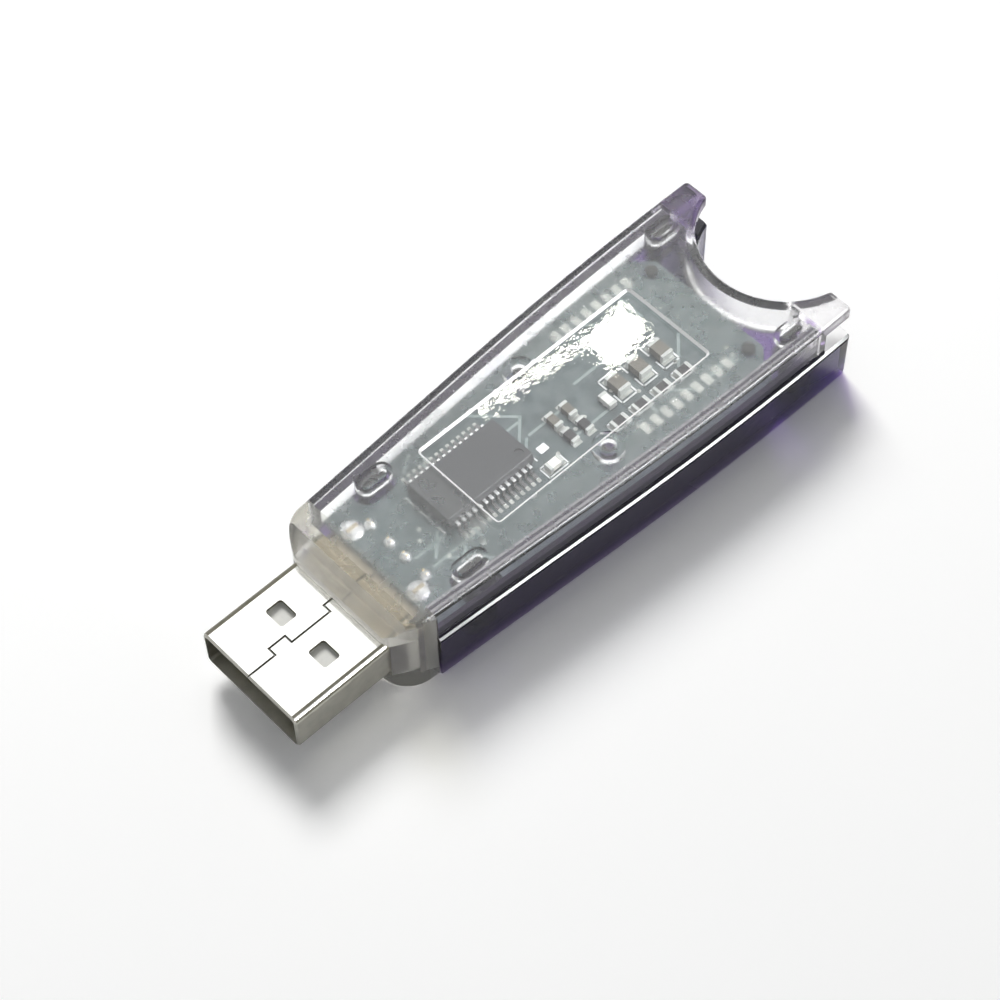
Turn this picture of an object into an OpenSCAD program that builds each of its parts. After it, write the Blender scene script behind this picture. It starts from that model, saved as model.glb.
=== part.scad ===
// USB stick programmer in a two-part plastic housing.
// X runs from the plug's mouth to the horns at the tail, Y across, Z up from the
// surface it lies on. The origin is under the middle of the whole stick.

/* [Housing] */
// Length of the housing, from its nose to the tips of its horns
housing_l = 52.3; // [50.5:0.1:66]
// Height of the housing
housing_h = 9.75; // [9.7:0.05:12]
// Width the sides would have at the nose, before its corners are rounded
nose_w = 15.6; // [15.2:0.1:18.5]
// Width of the cover at the tail
tail_w = 20.65; // [19.8:0.05:26]
// Length of the straight taper behind the nose
taper_l = 23.2; // [16:0.1:25]
// Length over which the taper curves into the parallel tail
curve_l = 26.2; // [18:0.1:29]
// Radius of the nose's corners, seen from above
nose_r = 3.1; // [1.5:0.1:3.4]
// Length of the clear nose, which reaches down in front of the tray
nose_l = 4; // [3.6:0.1:4.2]
// Thickness of the nose's front wall, which the plug passes through
nose_wall = 2.6; // [1.5:0.1:3.2]
// Length of the slope along the nose's top edge
nose_slope_l = 1.3; // [0.5:0.1:1.5]
// Height of that slope
nose_slope_h = 2.3; // [1:0.1:2.6]
// Radius of the round notch in the tail
notch_r = 7.9; // [7:0.1:8.8]
// Depth of the notch, along the stick
notch_depth = 6.05; // [5:0.05:6.5]
// Chamfer on the outer corner of each horn of the cover
horn_chamfer = 0.8; // [0.2:0.1:1.2]
// Length of the open slot under each horn of the cover
horn_slot_l = 3.3; // [2.6:0.1:3.8]
// Thickness of the cover over that slot
horn_t = 1.3; // [1:0.1:1.8]

/* [Walls] */
// Height of the cover's side, above the line where it meets the tray
cover_side_h = 3.95; // [3.75:0.05:4.4]
// How far the tray stands out past the cover
ledge = 0.25; // [0.1:0.05:0.5]
// Whole thickness of the side walls
side_wall = 1.2; // [1.05:0.05:1.35]
// Thickness of the cover's skin outside the tray's lip
cover_skin = 0.55; // [0.4:0.05:0.7]
// Gap between the tray's lip and the cover's skin
lip_gap = 0.1; // [0.05:0.05:0.15]
// Gap between the top of the lip and the underside of the cover
lip_top_gap = 0.15; // [0.05:0.05:0.4]
// Thickness of the cover's top
cover_t = 0.85; // [0.7:0.05:0.9]
// Thickness of the floor
floor_t = 1.2; // [0.9:0.05:1.4]
// Gap between the cover's nose and the front edge of the tray
nose_gap = 0.1; // [0.05:0.05:0.3]

/* [Window] */
// Length of the polished window in the cover
window_l = 25.8; // [22:0.1:28]
// Width of the window
window_w = 10.35; // [9:0.05:11.5]
// Distance from the nose to the window
window_from_nose = 13.75; // [12.5:0.05:15]
// Depth to which the window is sunk
window_recess = 0.2; // [0.1:0.05:0.35]

/* [Plug] */
// Length of the plug in front of the nose
plug_l = 10.05; // [9.8:0.05:11.8]
// Length of the plug's shell behind the nose's front face
plug_tail_l = 6.25; // [6:0.05:6.5]
// Width of the plug's shell
plug_w = 12; // [11.9:0.05:12.1]
// Height of the plug's shell
plug_h = 4.5; // [4.4:0.05:4.6]
// Thickness of the sheet that the shell is folded from
sheet_t = 0.3; // [0.25:0.01:0.35]
// Outer radius of the shell's folded edges
fold_r = 0.65; // [0.4:0.05:0.8]
// Height of the plug's middle above the floor
plug_z = 4; // [3.8:0.05:4.05]
// Gap all round between the shell and the nose
plug_gap = 0.1; // [0.05:0.05:0.2]
// Length of each latch window
latch_l = 1.8; // [1.6:0.1:2]
// Width of each latch window
latch_w = 2.2; // [2:0.1:2.5]
// Distance from the mouth to the middle of the latch windows
latch_x = 6; // [5.5:0.1:6.6]
// Distance between the two latch windows' middles
latch_pitch = 5.5; // [5.2:0.1:5.8]
// Width of the seam in the shell
seam_w = 0.1; // [0.06:0.01:0.16]
// How far the seam's two tabs step sideways
seam_step = 0.85; // [0.6:0.05:1.1]
// Length of each tab in the seam
seam_tab_l = 1.8; // [1.5:0.1:2.1]
// Distance from the mouth to the seam's first tab
seam_tab_x = 3; // [2.6:0.1:3.4]
// Distance from the seam's first tab to its second
seam_tab_pitch = 6.1; // [5.6:0.1:6.6]

/* [Insulator and contacts] */
// Thickness of the tongue
tongue_t = 1.95; // [1.85:0.01:1.95]
// How far the tongue lies back from the mouth
tongue_recess = 0.6; // [0.3:0.05:1]
// Gap on each side of the insulator
insulator_gap = 0.05; // [0.02:0.01:0.1]
// Distance from the mouth to the block behind the cavity
block_x = 10.9; // [10.4:0.1:12]
// Distance from the block's rear face to the end of the shell
block_recess = 1; // [0.6:0.05:1.4]
// Width of each contact
contact_w = 1; // [0.8:0.05:1.1]
// Thickness of each contact
contact_t = 0.2; // [0.15:0.01:0.25]
// How deep the contacts lie in the tongue
contact_inlay = 0.1; // [0.05:0.01:0.12]
// Gap round each contact in its groove
contact_gap = 0.02; // [0.01:0.01:0.05]
// Distance from the mouth to the two outer contacts
power_contact_x = 1.4; // [1.2:0.1:1.8]
// How much further back the two inner contacts start
data_contact_lag = 1; // [0.6:0.1:1.2]
// Distance between the two outer contacts
power_pitch = 7; // [6.9:0.05:7.1]
// Distance between the two inner contacts
data_pitch = 2; // [1.9:0.05:2.1]
// Width of the contacts' pins
pin_w = 0.6; // [0.5:0.05:0.7]
// Distance from the end of the shell to the pins
pin_setback = 0.55; // [0.5:0.05:0.8]
// Height of the pins above the board
pin_rise = 0.6; // [0.4:0.05:0.7]

/* [Board] */
// Thickness of the circuit board
board_t = 0.8; // [0.7:0.05:0.85]
// Gap between the board's sides and the tray's lip
board_gap = 0.15; // [0.1:0.05:0.3]
// How far the board reaches forward over the plug's shell
board_overlap = 1.95; // [1.85:0.05:2.1]
// Gap between the end of the board and the tray's notch wall
board_end_gap = 0.3; // [0.15:0.05:0.6]
// Chamfer on the board's corners at the tail
board_chamfer = 2.2; // [1:0.1:2.4]
// Length of the slots for the shell's legs
leg_l = 1.2; // [0.9:0.1:1.3]
// Distance between the shell's two legs
leg_pitch = 8.4; // [8:0.1:9]
// Distance from the end of the shell to the middle of the legs
leg_setback = 0.9; // [0.8:0.05:1]
// Height of the legs above the board
leg_rise = 0.5; // [0.4:0.05:0.6]
// Gap round the legs and pins in the board
hole_gap = 0.1; // [0.05:0.05:0.15]
// Radius of the solder round each leg
leg_solder_r = 0.92; // [0.8:0.01:0.95]
// Radius of the solder round each pin
pin_solder_r = 0.58; // [0.5:0.01:0.6]

/* [Posts] */
// Length of each clip socket under the cover
clip_l = 3.7; // [3.4:0.05:3.8]
// Width of each clip socket
clip_w = 1.9; // [1.8:0.05:2]
// Wall of each clip socket
clip_wall = 0.5; // [0.4:0.05:0.55]
// Gap between a clip post and its socket
clip_gap = 0.08; // [0.05:0.01:0.1]
// Distance from the nose to the front clips
front_clip_from_nose = 9.6; // [9.4:0.1:10]
// Gap between the front clip sockets and the tray's lip
clip_side_gap = 0.15; // [0.05:0.05:0.3]
// Distance from the rear clips' middle to the horn slots
rear_clip_setback = 2.15; // [2.05:0.05:2.3]
// Distance from the rear clips' middle to the cover's side
rear_clip_inset = 2.3; // [2.25:0.05:2.5]
// Outer radius of the two round bosses
boss_r = 1.5; // [1.3:0.05:1.6]
// Radius of the pins on the tray's bosses
boss_pin_r = 0.65; // [0.5:0.05:0.75]
// Gap round those pins
boss_pin_gap = 0.08; // [0.05:0.01:0.12]
// Distance from the nose to the bosses
boss_from_nose = 26.4; // [25:0.1:27]
// Distance between the bosses
boss_pitch = 11.2; // [11:0.1:12]
// Gap between the tips of posts and pins and the underside of the cover
tip_gap = 0.5; // [0.3:0.05:0.7]
// Radius of the shoulders of the board's locating pins
locator_r = 1.15; // [1:0.05:1.3]
// Radius of the locating pins
locator_pin_r = 0.6; // [0.45:0.05:0.7]
// Distance between the locating pins
locator_pitch = 12.2; // [11:0.1:12.6]
// Distance from the locating pins to the end of the board
locator_setback = 1.3; // [1.3:0.05:1.8]

/* [Controller] */
// Length of the controller's body
chip_l = 10.2; // [9.9:0.05:10.5]
// Width of the controller's body
chip_w = 5.3; // [5:0.05:5.6]
// Height of the controller's body
chip_h = 1.7; // [1.5:0.05:1.75]
// Gap under the controller's body
chip_standoff = 0.05; // [0.02:0.01:0.1]
// Distance from the nose to the controller's middle
chip_from_nose = 16.2; // [16:0.1:17]
// Distance from the centre line to the controller's middle
chip_y = 0.95; // [0.5:0.05:1.3]
// Number of leads on each side of the controller
lead_count = 14; // [10:1:14]
// Distance between neighbouring leads
lead_pitch = 0.65; // [0.6:0.01:0.68]
// Width of each lead
lead_w = 0.3; // [0.2:0.01:0.35]
// Thickness of each lead
lead_t = 0.16; // [0.12:0.01:0.2]
// Width over the tips of the leads
lead_span = 7.8; // [7.4:0.05:8]
// Length of each lead's shoulder
lead_shoulder = 0.35; // [0.25:0.05:0.5]

/* [Small parts] */
// Length of each large capacitor, across the stick
big_cap_l = 2; // [1.8:0.1:2.2]
// Width of each large capacitor
big_cap_w = 1.25; // [1.1:0.05:1.4]
// Height of each large capacitor
big_cap_h = 0.85; // [0.6:0.05:1.2]
// Distance between the large capacitors' middles, and between the four resistors'
row_pitch = 2.65; // [2.3:0.05:2.8]
// Distance from the nose to the first part of both rows
row_from_nose = 32.3; // [32:0.1:32.6]
// Distance from the centre line to the large capacitors' middles
big_cap_y = -0.8; // [-1:0.05:-0.5]
// Height of each resistor
resistor_h = 0.45; // [0.35:0.05:0.6]
// Distance from the centre line to the row of resistors
resistor_y = -3.7; // [-3.9:0.05:-3.5]
// Length of each small chip part
small_l = 1.6; // [1.5:0.05:1.7]
// Width of each small chip part
small_w = 0.8; // [0.7:0.05:0.9]
// Height of each small capacitor and light
small_h = 0.6; // [0.4:0.05:0.8]
// Length of the metal ends on chip parts
terminal_l = 0.3; // [0.2:0.05:0.4]
// How far the metal ends stand out from the parts' bodies
terminal_skin = 0.03; // [0.02:0.01:0.05]
// Distance between the controller and the nearest of the four parts in the group
group_from_chip = 4.2; // [3.6:0.1:4.5]
// Distance from the centre line to the middle of the group
group_y = -0.75; // [-1.2:0.05:-0.2]
// Distance between the group's parts, along the stick
group_pitch_l = 1.75; // [1.4:0.05:1.9]
// Distance between the group's parts, across the stick
group_pitch_w = 2.1; // [1.9:0.05:2.4]
// Distance between the controller and the middle of the power light
power_light_from_chip = 1.1; // [1:0.05:1.6]
// Distance from the centre line to the power light
power_light_y = -3; // [-3.3:0.05:-2.6]
// Distance between the activity light and the first large capacitor
activity_light_from_row = 1.85; // [1.5:0.05:2]
// Distance from the centre line to the activity light
activity_light_y = -1.4; // [-2:0.05:-0.8]

/* [Hidden] */

// Finest facet size of small and of large curves
$fn = 48;
curve_fn = 180;
// Pieces that each curved side and each nose corner is drawn with
side_steps = 14;
corner_steps = 10;
// Reach of cutting shapes past what they cut
over = 1;
// Half of a sheet that is larger than the whole stick, for cutting it at a length
sheet = 100;

// Places along the stick, from the plug's mouth
nose_x = plug_l;
tray_x = nose_x + nose_l;
tail_x = nose_x + housing_l;
full_x = taper_l + curve_l;
slot_x = tail_x - horn_slot_l;
notch_x = tail_x - notch_depth + notch_r;
shell_end_x = nose_x + plug_tail_l;
board_x = shell_end_x - board_overlap;
board_end_x = tail_x - notch_depth - side_wall - board_end_gap;
pin_x = shell_end_x + pin_setback;
leg_x = shell_end_x - leg_setback;
boss_x = nose_x + boss_from_nose;
locator_x = board_end_x - locator_setback;
front_clip_x = nose_x + front_clip_from_nose;
rear_clip_x = slot_x - rear_clip_setback;
chip_x = nose_x + chip_from_nose;
row_x = nose_x + row_from_nose;

// Heights
split_z = housing_h - cover_side_h;
cover_under_z = housing_h - cover_t;
lip_top_z = cover_under_z - lip_top_gap;
board_z = plug_z + plug_h / 2;
board_top_z = board_z + board_t;
tip_z = cover_under_z - tip_gap;
socket_z = board_z;
tongue_top_z = board_z - sheet_t;
tongue_z = tongue_top_z - tongue_t;
contact_z = tongue_z + contact_inlay - contact_t;

// Slope of the straight sides, and the nose corners' centre
side_slope = (tail_w - nose_w) / 2 / (taper_l + curve_l / 2);
side_angle = atan(side_slope);
nose_corner_y = nose_w / 2 + side_slope * nose_r - nose_r / cos(side_angle);

front_clip_y = side_y(front_clip_from_nose - clip_l / 2, -side_wall) - clip_side_gap - clip_w / 2;
rear_clip_y = tail_w / 2 - rear_clip_inset;
clips = [[front_clip_x, front_clip_y], [rear_clip_x, rear_clip_y]];

plastic_clear = [0.86, 0.88, 0.89, 0.45];
plastic_purple = [0.36, 0.27, 0.5, 0.75];
ceramic = [0.62, 0.54, 0.44];
resistor_black = [0.13, 0.13, 0.14];
led_white = [0.9, 0.9, 0.85];

// Slope and distance from the centre line of the cover's side at a distance t from
// the nose, moved outwards by grow
function slope_at(t) = t < taper_l ? side_slope : side_slope * max(full_x - t, 0) / curve_l;
function side_y(t, grow = 0) =
    (t < taper_l ? nose_w / 2 + side_slope * t
        : tail_w / 2 - side_slope * pow(max(full_x - t, 0), 2) / (2 * curve_l))
    + grow * sqrt(1 + pow(slope_at(t), 2));
// Points of one side, from the nose's corner to the tail
function side_points(grow) = concat(
    [for (i = [0 : corner_steps])
        let (a = 180 - i * (90 - side_angle) / corner_steps)
            [nose_x + nose_r + (nose_r + grow) * cos(a), nose_corner_y + (nose_r + grow) * sin(a)]],
    [for (i = [0 : side_steps])
        let (t = taper_l + i * curve_l / side_steps) [nose_x + t, side_y(t, grow)]],
    [[tail_x, side_y(housing_l, grow)]]);
function mirrored(points) = [for (i = [len(points) - 1 : -1 : 0]) [points[i][0], -points[i][1]]];

// Moves the stick so that its middle is over the origin
module placed() {
    translate([-tail_x / 2, 0, 0]) children();
}

module both_sides() {
    for (s = [-1, 1]) scale_y(s) children();
}

module scale_y(s) {
    if (s < 0) mirror([0, 1, 0]) children();
    else children();
}

// The housing's outline from above without its notch, with its sides moved outwards by grow
module body_outline(grow = 0) {
    polygon(concat(side_points(grow), mirrored(side_points(grow))));
}

module outline(grow = 0) {
    difference() {
        body_outline(grow);
        translate([notch_x, 0]) circle(notch_r - grow, $fn = curve_fn);
    }
}

// The part of that outline between two places along the stick
module outline_between(x0, x1, grow = 0) {
    intersection() {
        outline(grow);
        translate([x0, -sheet]) square([x1 - x0, 2 * sheet]);
    }
}

module slot_shape(l, w) {
    square([l - w, w], center = true);
    both_ends(l - w) circle(w / 2);
}

module both_ends(pitch) {
    for (s = [-1, 1]) translate([s * pitch / 2, 0]) children();
}

module prism(z0, z1) {
    translate([0, 0, z0]) linear_extrude(z1 - z0) children();
}

module at_clips() {
    both_sides() for (c = clips) translate([c[0], c[1], 0]) children();
}

module at_bosses() {
    both_sides() translate([boss_x, boss_pitch / 2, 0]) children();
}

module at_locators() {
    both_sides() translate([locator_x, locator_pitch / 2, 0]) children();
}

// A plate lying in the XZ plane, w wide along Y, from its outline
module rib(w) {
    rotate([90, 0, 0]) linear_extrude(w, center = true) children();
}

// Clear cover, with the nose that the plug comes out of
module cover() {
    color(plastic_clear) placed() difference() {
        union() {
            prism(cover_under_z, housing_h) horn_ends() outline();
            prism(housing_h - horn_t, housing_h) horn_ends()
                outline_between(slot_x - cover_skin, tail_x);
            prism(split_z, cover_under_z) difference() {
                outline_between(tray_x - nose_gap - over, slot_x);
                outline_between(nose_x, slot_x - cover_skin, -cover_skin);
            }
            prism(0, cover_under_z) difference() {
                outline_between(nose_x, tray_x - nose_gap);
                outline(-side_wall);
            }
            prism(0, floor_t) outline_between(nose_x, tray_x - nose_gap);
            prism(0, cover_under_z) outline_between(nose_x, nose_x + nose_wall);
            at_clips() prism(socket_z, cover_under_z) slot_shape(clip_l, clip_w);
            at_bosses() prism(board_top_z, cover_under_z) circle(boss_r);
        }
        window();
        plug_aperture();
        nose_slope();
        at_clips() prism(socket_z - over, cover_under_z)
            slot_shape(clip_l - 2 * clip_wall, clip_w - 2 * clip_wall);
        at_bosses() prism(board_top_z - over, cover_under_z) circle(boss_pin_r + boss_pin_gap);
    }
}

module horn_ends() {
    intersection() {
        children();
        polygon(concat([[0, -sheet], [0, sheet]],
            [[tail_x - sheet, sheet], [tail_x - horn_chamfer, tail_w / 2],
             [tail_x, tail_w / 2 - horn_chamfer],
             [tail_x, horn_chamfer - tail_w / 2], [tail_x - horn_chamfer, -tail_w / 2],
             [tail_x - sheet, -sheet]]));
    }
}

module window() {
    prism(housing_h - window_recess, housing_h + over)
        translate([nose_x + window_from_nose, -window_w / 2]) square([window_l, window_w]);
}

module plug_aperture() {
    translate([nose_x - over, -plug_w / 2 - plug_gap, plug_z - plug_h / 2 - plug_gap])
        cube([nose_l + over, plug_w + 2 * plug_gap, plug_h + 2 * plug_gap]);
}

module nose_slope() {
    rib(2 * sheet) polygon([[nose_x, housing_h - nose_slope_h], [nose_x + nose_slope_l, housing_h],
        [nose_x + nose_slope_l, housing_h + over], [nose_x - over, housing_h + over],
        [nose_x - over, housing_h - nose_slope_h]]);
}

// Purple tray that the board lies in
module tray() {
    color(plastic_purple) placed() {
        difference() {
            union() {
                prism(0, split_z) outline_between(tray_x, tail_x, ledge);
                prism(split_z, lip_top_z) difference() {
                    outline_between(tray_x, slot_x - cover_skin - lip_gap, -cover_skin - lip_gap);
                    body_outline(-side_wall);
                }
            }
            prism(floor_t, housing_h) outline_between(nose_x, slot_x - side_wall, -side_wall);
        }
        at_clips() clip_post();
        at_bosses() stepped_pin(boss_r, board_z, boss_pin_r, tip_z);
        at_locators() stepped_pin(locator_r, board_z, locator_pin_r, board_top_z + pin_rise);
        translate([leg_x, 0, 0]) plug_rest();
    }
}

module clip_post() {
    prism(floor_t - over / 2, socket_z - clip_gap) slot_shape(clip_l, clip_w);
    prism(floor_t, tip_z)
        slot_shape(clip_l - 2 * (clip_wall + clip_gap), clip_w - 2 * (clip_wall + clip_gap));
}

module stepped_pin(r, shoulder_z, pin_r, top_z) {
    prism(floor_t - over / 2, shoulder_z) circle(r);
    prism(floor_t, top_z) circle(pin_r);
}

// Rib under the rear of the plug's shell
module plug_rest() {
    prism(floor_t - over / 2, plug_z - plug_h / 2) square([sheet_t * 3, leg_pitch], center = true);
}

module circuit_board() {
    color([0.12, 0.2, 0.22]) placed() prism(board_z, board_top_z) difference() {
        intersection() {
            outline_between(board_x, board_end_x, -side_wall - board_gap);
            board_corners();
        }
        at_clips() clip_notch();
        at_bosses() circle(boss_pin_r + boss_pin_gap);
        at_locators() circle(locator_pin_r + boss_pin_gap);
        both_sides() translate([leg_x, leg_pitch / 2])
            square([leg_l + 2 * hole_gap, sheet_t + 2 * hole_gap], center = true);
        for (y = contact_ys()) translate([pin_x, y]) circle(pin_w / 2 + hole_gap);
    }
}

// Room in the board's edge for a clip socket
module clip_notch() {
    slot_shape(clip_l + 2 * board_gap, clip_w + 2 * board_gap);
    translate([-clip_l / 2 - board_gap, 0]) square([clip_l + 2 * board_gap, sheet]);
}

module board_corners() {
    y1 = side_y(board_end_x - nose_x, -side_wall - board_gap);
    polygon([[0, -sheet], [0, sheet], [board_end_x - board_chamfer - sheet, y1 + sheet],
        [board_end_x - board_chamfer, y1], [board_end_x, y1 - board_chamfer],
        [board_end_x, board_chamfer - y1], [board_end_x - board_chamfer, -y1],
        [board_end_x - board_chamfer - sheet, -y1 - sheet]]);
}

function contact_ys() =
    [-power_pitch / 2, -data_pitch / 2, data_pitch / 2, power_pitch / 2];

// Rounded rectangle across the stick, drawn about the plug's middle
module plug_section(inset) {
    r = fold_r - inset;
    w = plug_w - 2 * inset;
    h = plug_h - 2 * inset;
    square([w - 2 * r, h], center = true);
    square([w, h - 2 * r], center = true);
    for (y = [-1, 1], z = [-1, 1])
        translate([y * (w / 2 - r), z * (h / 2 - r)]) circle(r);
}

module along_plug(x0, x1) {
    translate([x0, 0, plug_z]) rotate([90, 0, 90]) linear_extrude(x1 - x0) children();
}

// Nickel-plated shell of the plug, folded from sheet
module plug_shell() {
    color([0.78, 0.78, 0.76]) placed() {
        difference() {
            along_plug(0, shell_end_x) plug_section(0);
            along_plug(-over, shell_end_x + over) plug_section(sheet_t);
            both_sides() translate([latch_x, latch_pitch / 2, 0])
                prism(0, board_z + over) square([latch_l, latch_w], center = true);
            prism(tongue_top_z - over / 2, board_z + over) seam();
        }
        both_sides() translate([leg_x, leg_pitch / 2, 0])
            prism(tongue_top_z, board_top_z + leg_rise) square([leg_l, sheet_t], center = true);
    }
}

// Seam along the top of the shell, with two tabs that interlock
module seam() {
    xs = [for (k = [0, 1], x = [0, seam_tab_l]) seam_tab_x + k * seam_tab_pitch + x];
    path = [[-over, 0], [xs[0], 0], [xs[0], seam_step], [xs[1], seam_step], [xs[1], 0],
            [xs[2], 0], [xs[2], seam_step], [xs[3], seam_step], [xs[3], 0],
            [shell_end_x + over, 0]];
    for (i = [0 : len(path) - 2]) {
        a = path[i];
        b = path[i + 1];
        translate([min(a[0], b[0]) - seam_w / 2, min(a[1], b[1]) - seam_w / 2])
            square([abs(a[0] - b[0]) + seam_w, abs(a[1] - b[1]) + seam_w]);
    }
}

// White insulator: a tongue along the top of the cavity and a block behind it
module plug_insulator() {
    w = plug_w - 2 * (sheet_t + insulator_gap);
    color([0.85, 0.85, 0.82]) placed() difference() {
        union() {
            translate([tongue_recess, -w / 2, tongue_z])
                cube([shell_end_x - block_recess - tongue_recess, w, tongue_t]);
            translate([block_x, -w / 2, plug_z - plug_h / 2 + sheet_t])
                cube([shell_end_x - block_recess - block_x, w, plug_h - 2 * sheet_t]);
        }
        for (i = [0 : 3])
            translate([contact_x(i) - contact_gap, contact_ys()[i] - contact_w / 2 - contact_gap,
                contact_z - contact_gap])
                cube([shell_end_x, contact_w + 2 * contact_gap, contact_t + contact_gap]);
    }
}

function contact_x(i) = power_contact_x + (i == 1 || i == 2 ? data_contact_lag : 0);

// Contact number i: a strip along the tongue, then a pin up through the board
module contact(i) {
    color([0.83, 0.68, 0.33]) placed() translate([0, contact_ys()[i], 0]) {
        translate([contact_x(i), -contact_w / 2, contact_z])
            cube([shell_end_x - block_recess - contact_x(i), contact_w, contact_t]);
        rib(pin_w) polygon([
            [shell_end_x - block_recess - contact_t, contact_z],
            [pin_x + contact_t / 2, contact_z], [pin_x + contact_t / 2, board_top_z + pin_rise],
            [pin_x - contact_t / 2, board_top_z + pin_rise],
            [pin_x - contact_t / 2, contact_z + contact_t],
            [shell_end_x - block_recess - contact_t, contact_z + contact_t]]);
    }
}

// Solder cone of radius r round a lead that stands h out of the board
module solder_cone(r, h) {
    translate([0, 0, board_top_z]) cylinder(h = h, r1 = r, r2 = r * 0.45);
}

module shell_leg_solder() {
    color([0.87, 0.87, 0.86]) placed() both_sides() translate([leg_x, leg_pitch / 2, 0])
        difference() {
            solder_cone(leg_solder_r, leg_rise * 0.9);
            prism(board_z, board_top_z + leg_rise + over) square([leg_l, sheet_t], center = true);
        }
}

module pin_solder() {
    color([0.87, 0.87, 0.86]) placed() for (y = contact_ys()) translate([pin_x, y, 0])
        difference() {
            solder_cone(pin_solder_r, pin_rise * 0.8);
            prism(board_z, board_top_z + pin_rise + over) square([contact_t, pin_w], center = true);
        }
}

// One bent lead, from the side of a body at z = shoulder_z, reaching reach outwards
module lead(shoulder_z, shoulder, reach) {
    rotate([0, 0, 90]) rib(lead_w) polygon([[0, shoulder_z - lead_t], [0, shoulder_z],
        [shoulder + lead_t, shoulder_z], [shoulder + lead_t, lead_t], [reach, lead_t], [reach, 0],
        [shoulder, 0], [shoulder, shoulder_z - lead_t]]);
}

module controller_chip() {
    color([0.16, 0.17, 0.18]) placed()
        translate([chip_x, chip_y, board_top_z + chip_standoff]) difference() {
            translate([-chip_l / 2, -chip_w / 2, 0]) cube([chip_l, chip_w, chip_h]);
            translate([chip_l / 2 - lead_pitch * 1.5, lead_pitch * 1.5 - chip_w / 2, chip_h - lead_t])
                cylinder(h = over, r = lead_pitch * 0.7);
        }
}

module controller_leads() {
    color([0.78, 0.79, 0.8]) placed() translate([chip_x, chip_y, board_top_z])
        both_sides() for (i = [0 : lead_count - 1])
            translate([(i - (lead_count - 1) / 2) * lead_pitch, chip_w / 2, 0])
                lead(chip_standoff + chip_h / 2, lead_shoulder, (lead_span - chip_w) / 2);
}

// A chip part of length l along X: a body between two metal ends
module chip_part(l, w, h, body) {
    placed_z = board_top_z;
    color(body) translate([-l / 2 + terminal_l / 2, -w / 2, placed_z + terminal_skin])
        cube([l - terminal_l, w, h]);
    color([0.8, 0.8, 0.8]) for (s = [0, 1])
        translate([s * (l - terminal_l) - l / 2, -w / 2 - terminal_skin, placed_z])
            cube([terminal_l, w + 2 * terminal_skin, h + 2 * terminal_skin]);
}

module big_capacitor(k) {
    placed() translate([row_x + k * row_pitch, big_cap_y, 0]) rotate([0, 0, 90])
        chip_part(big_cap_l, big_cap_w, big_cap_h, ceramic);
}

module row_resistor(k) {
    placed() translate([row_x + (k - 1) * row_pitch, resistor_y, 0])
        chip_part(small_l, small_w, resistor_h, resistor_black);
}

// A small chip part across the stick, in column i and row j of the group of four
module group_part(i, j, h, body) {
    placed() translate([chip_x + chip_l / 2 + group_from_chip + i * group_pitch_l,
        group_y + (j - 0.5) * group_pitch_w, 0])
        rotate([0, 0, 90]) chip_part(small_l, small_w, h, body);
}

module power_light() {
    placed() translate([chip_x + chip_l / 2 + power_light_from_chip, power_light_y, 0])
        chip_part(small_l, small_w, small_h, led_white);
}

module activity_light() {
    placed() translate([row_x - activity_light_from_row, activity_light_y, 0])
        rotate([0, 0, 90]) chip_part(small_l, small_w, small_h, led_white);
}

cover();
tray();
circuit_board();
plug_shell();
plug_insulator();
contact(0);  // power_contact
contact(1);  // data_minus_contact
contact(2);  // data_plus_contact
contact(3);  // ground_contact
shell_leg_solder();
pin_solder();
controller_chip();
controller_leads();
big_capacitor(0);  // input_capacitor
big_capacitor(1);  // output_capacitor
big_capacitor(2);  // filter_capacitor
group_part(0, 1, small_h, ceramic);  // supply_capacitor
group_part(1, 1, small_h, ceramic);  // bypass_capacitor
row_resistor(0);  // transmit_resistor
row_resistor(1);  // receive_resistor
row_resistor(2);  // clock_resistor
row_resistor(3);  // data_resistor
group_part(0, 0, resistor_h, resistor_black);  // pull_up_resistor
group_part(1, 0, resistor_h, resistor_black);  // reset_resistor
power_light();
activity_light();
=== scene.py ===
import math
import random

import bmesh
import bpy
from mathutils import Matrix, Vector

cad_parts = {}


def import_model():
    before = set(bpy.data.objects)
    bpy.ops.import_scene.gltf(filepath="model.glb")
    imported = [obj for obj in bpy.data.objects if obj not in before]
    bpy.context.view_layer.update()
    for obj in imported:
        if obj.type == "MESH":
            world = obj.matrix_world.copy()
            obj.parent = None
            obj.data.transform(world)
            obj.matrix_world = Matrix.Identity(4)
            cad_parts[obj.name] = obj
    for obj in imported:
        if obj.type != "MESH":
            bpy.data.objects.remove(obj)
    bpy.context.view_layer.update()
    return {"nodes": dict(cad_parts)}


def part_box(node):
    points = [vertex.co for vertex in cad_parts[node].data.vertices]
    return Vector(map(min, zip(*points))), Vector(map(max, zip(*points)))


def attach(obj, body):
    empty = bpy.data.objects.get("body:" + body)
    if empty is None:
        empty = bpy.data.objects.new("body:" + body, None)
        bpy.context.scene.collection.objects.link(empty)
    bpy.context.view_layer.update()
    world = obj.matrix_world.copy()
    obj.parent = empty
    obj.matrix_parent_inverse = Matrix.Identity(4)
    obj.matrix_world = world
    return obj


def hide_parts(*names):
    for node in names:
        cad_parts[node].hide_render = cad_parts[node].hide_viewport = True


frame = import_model()
MM = 0.001
SIDES = (-1, 1)
OVER = 1.0  # how far in mm a cutting tool reaches past what it cuts


# ---------------------------------------------------------------- camera, in metres and degrees
CAMERA_AIM = Vector((-0.003513, -0.001148, 0.005))
CAMERA_AZIMUTH, CAMERA_ELEVATION, CAMERA_ROLL = 228.0707, 56.4582, -1.7797
CAMERA_DISTANCE = 0.22658
CAMERA_LENS = 93.69


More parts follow.
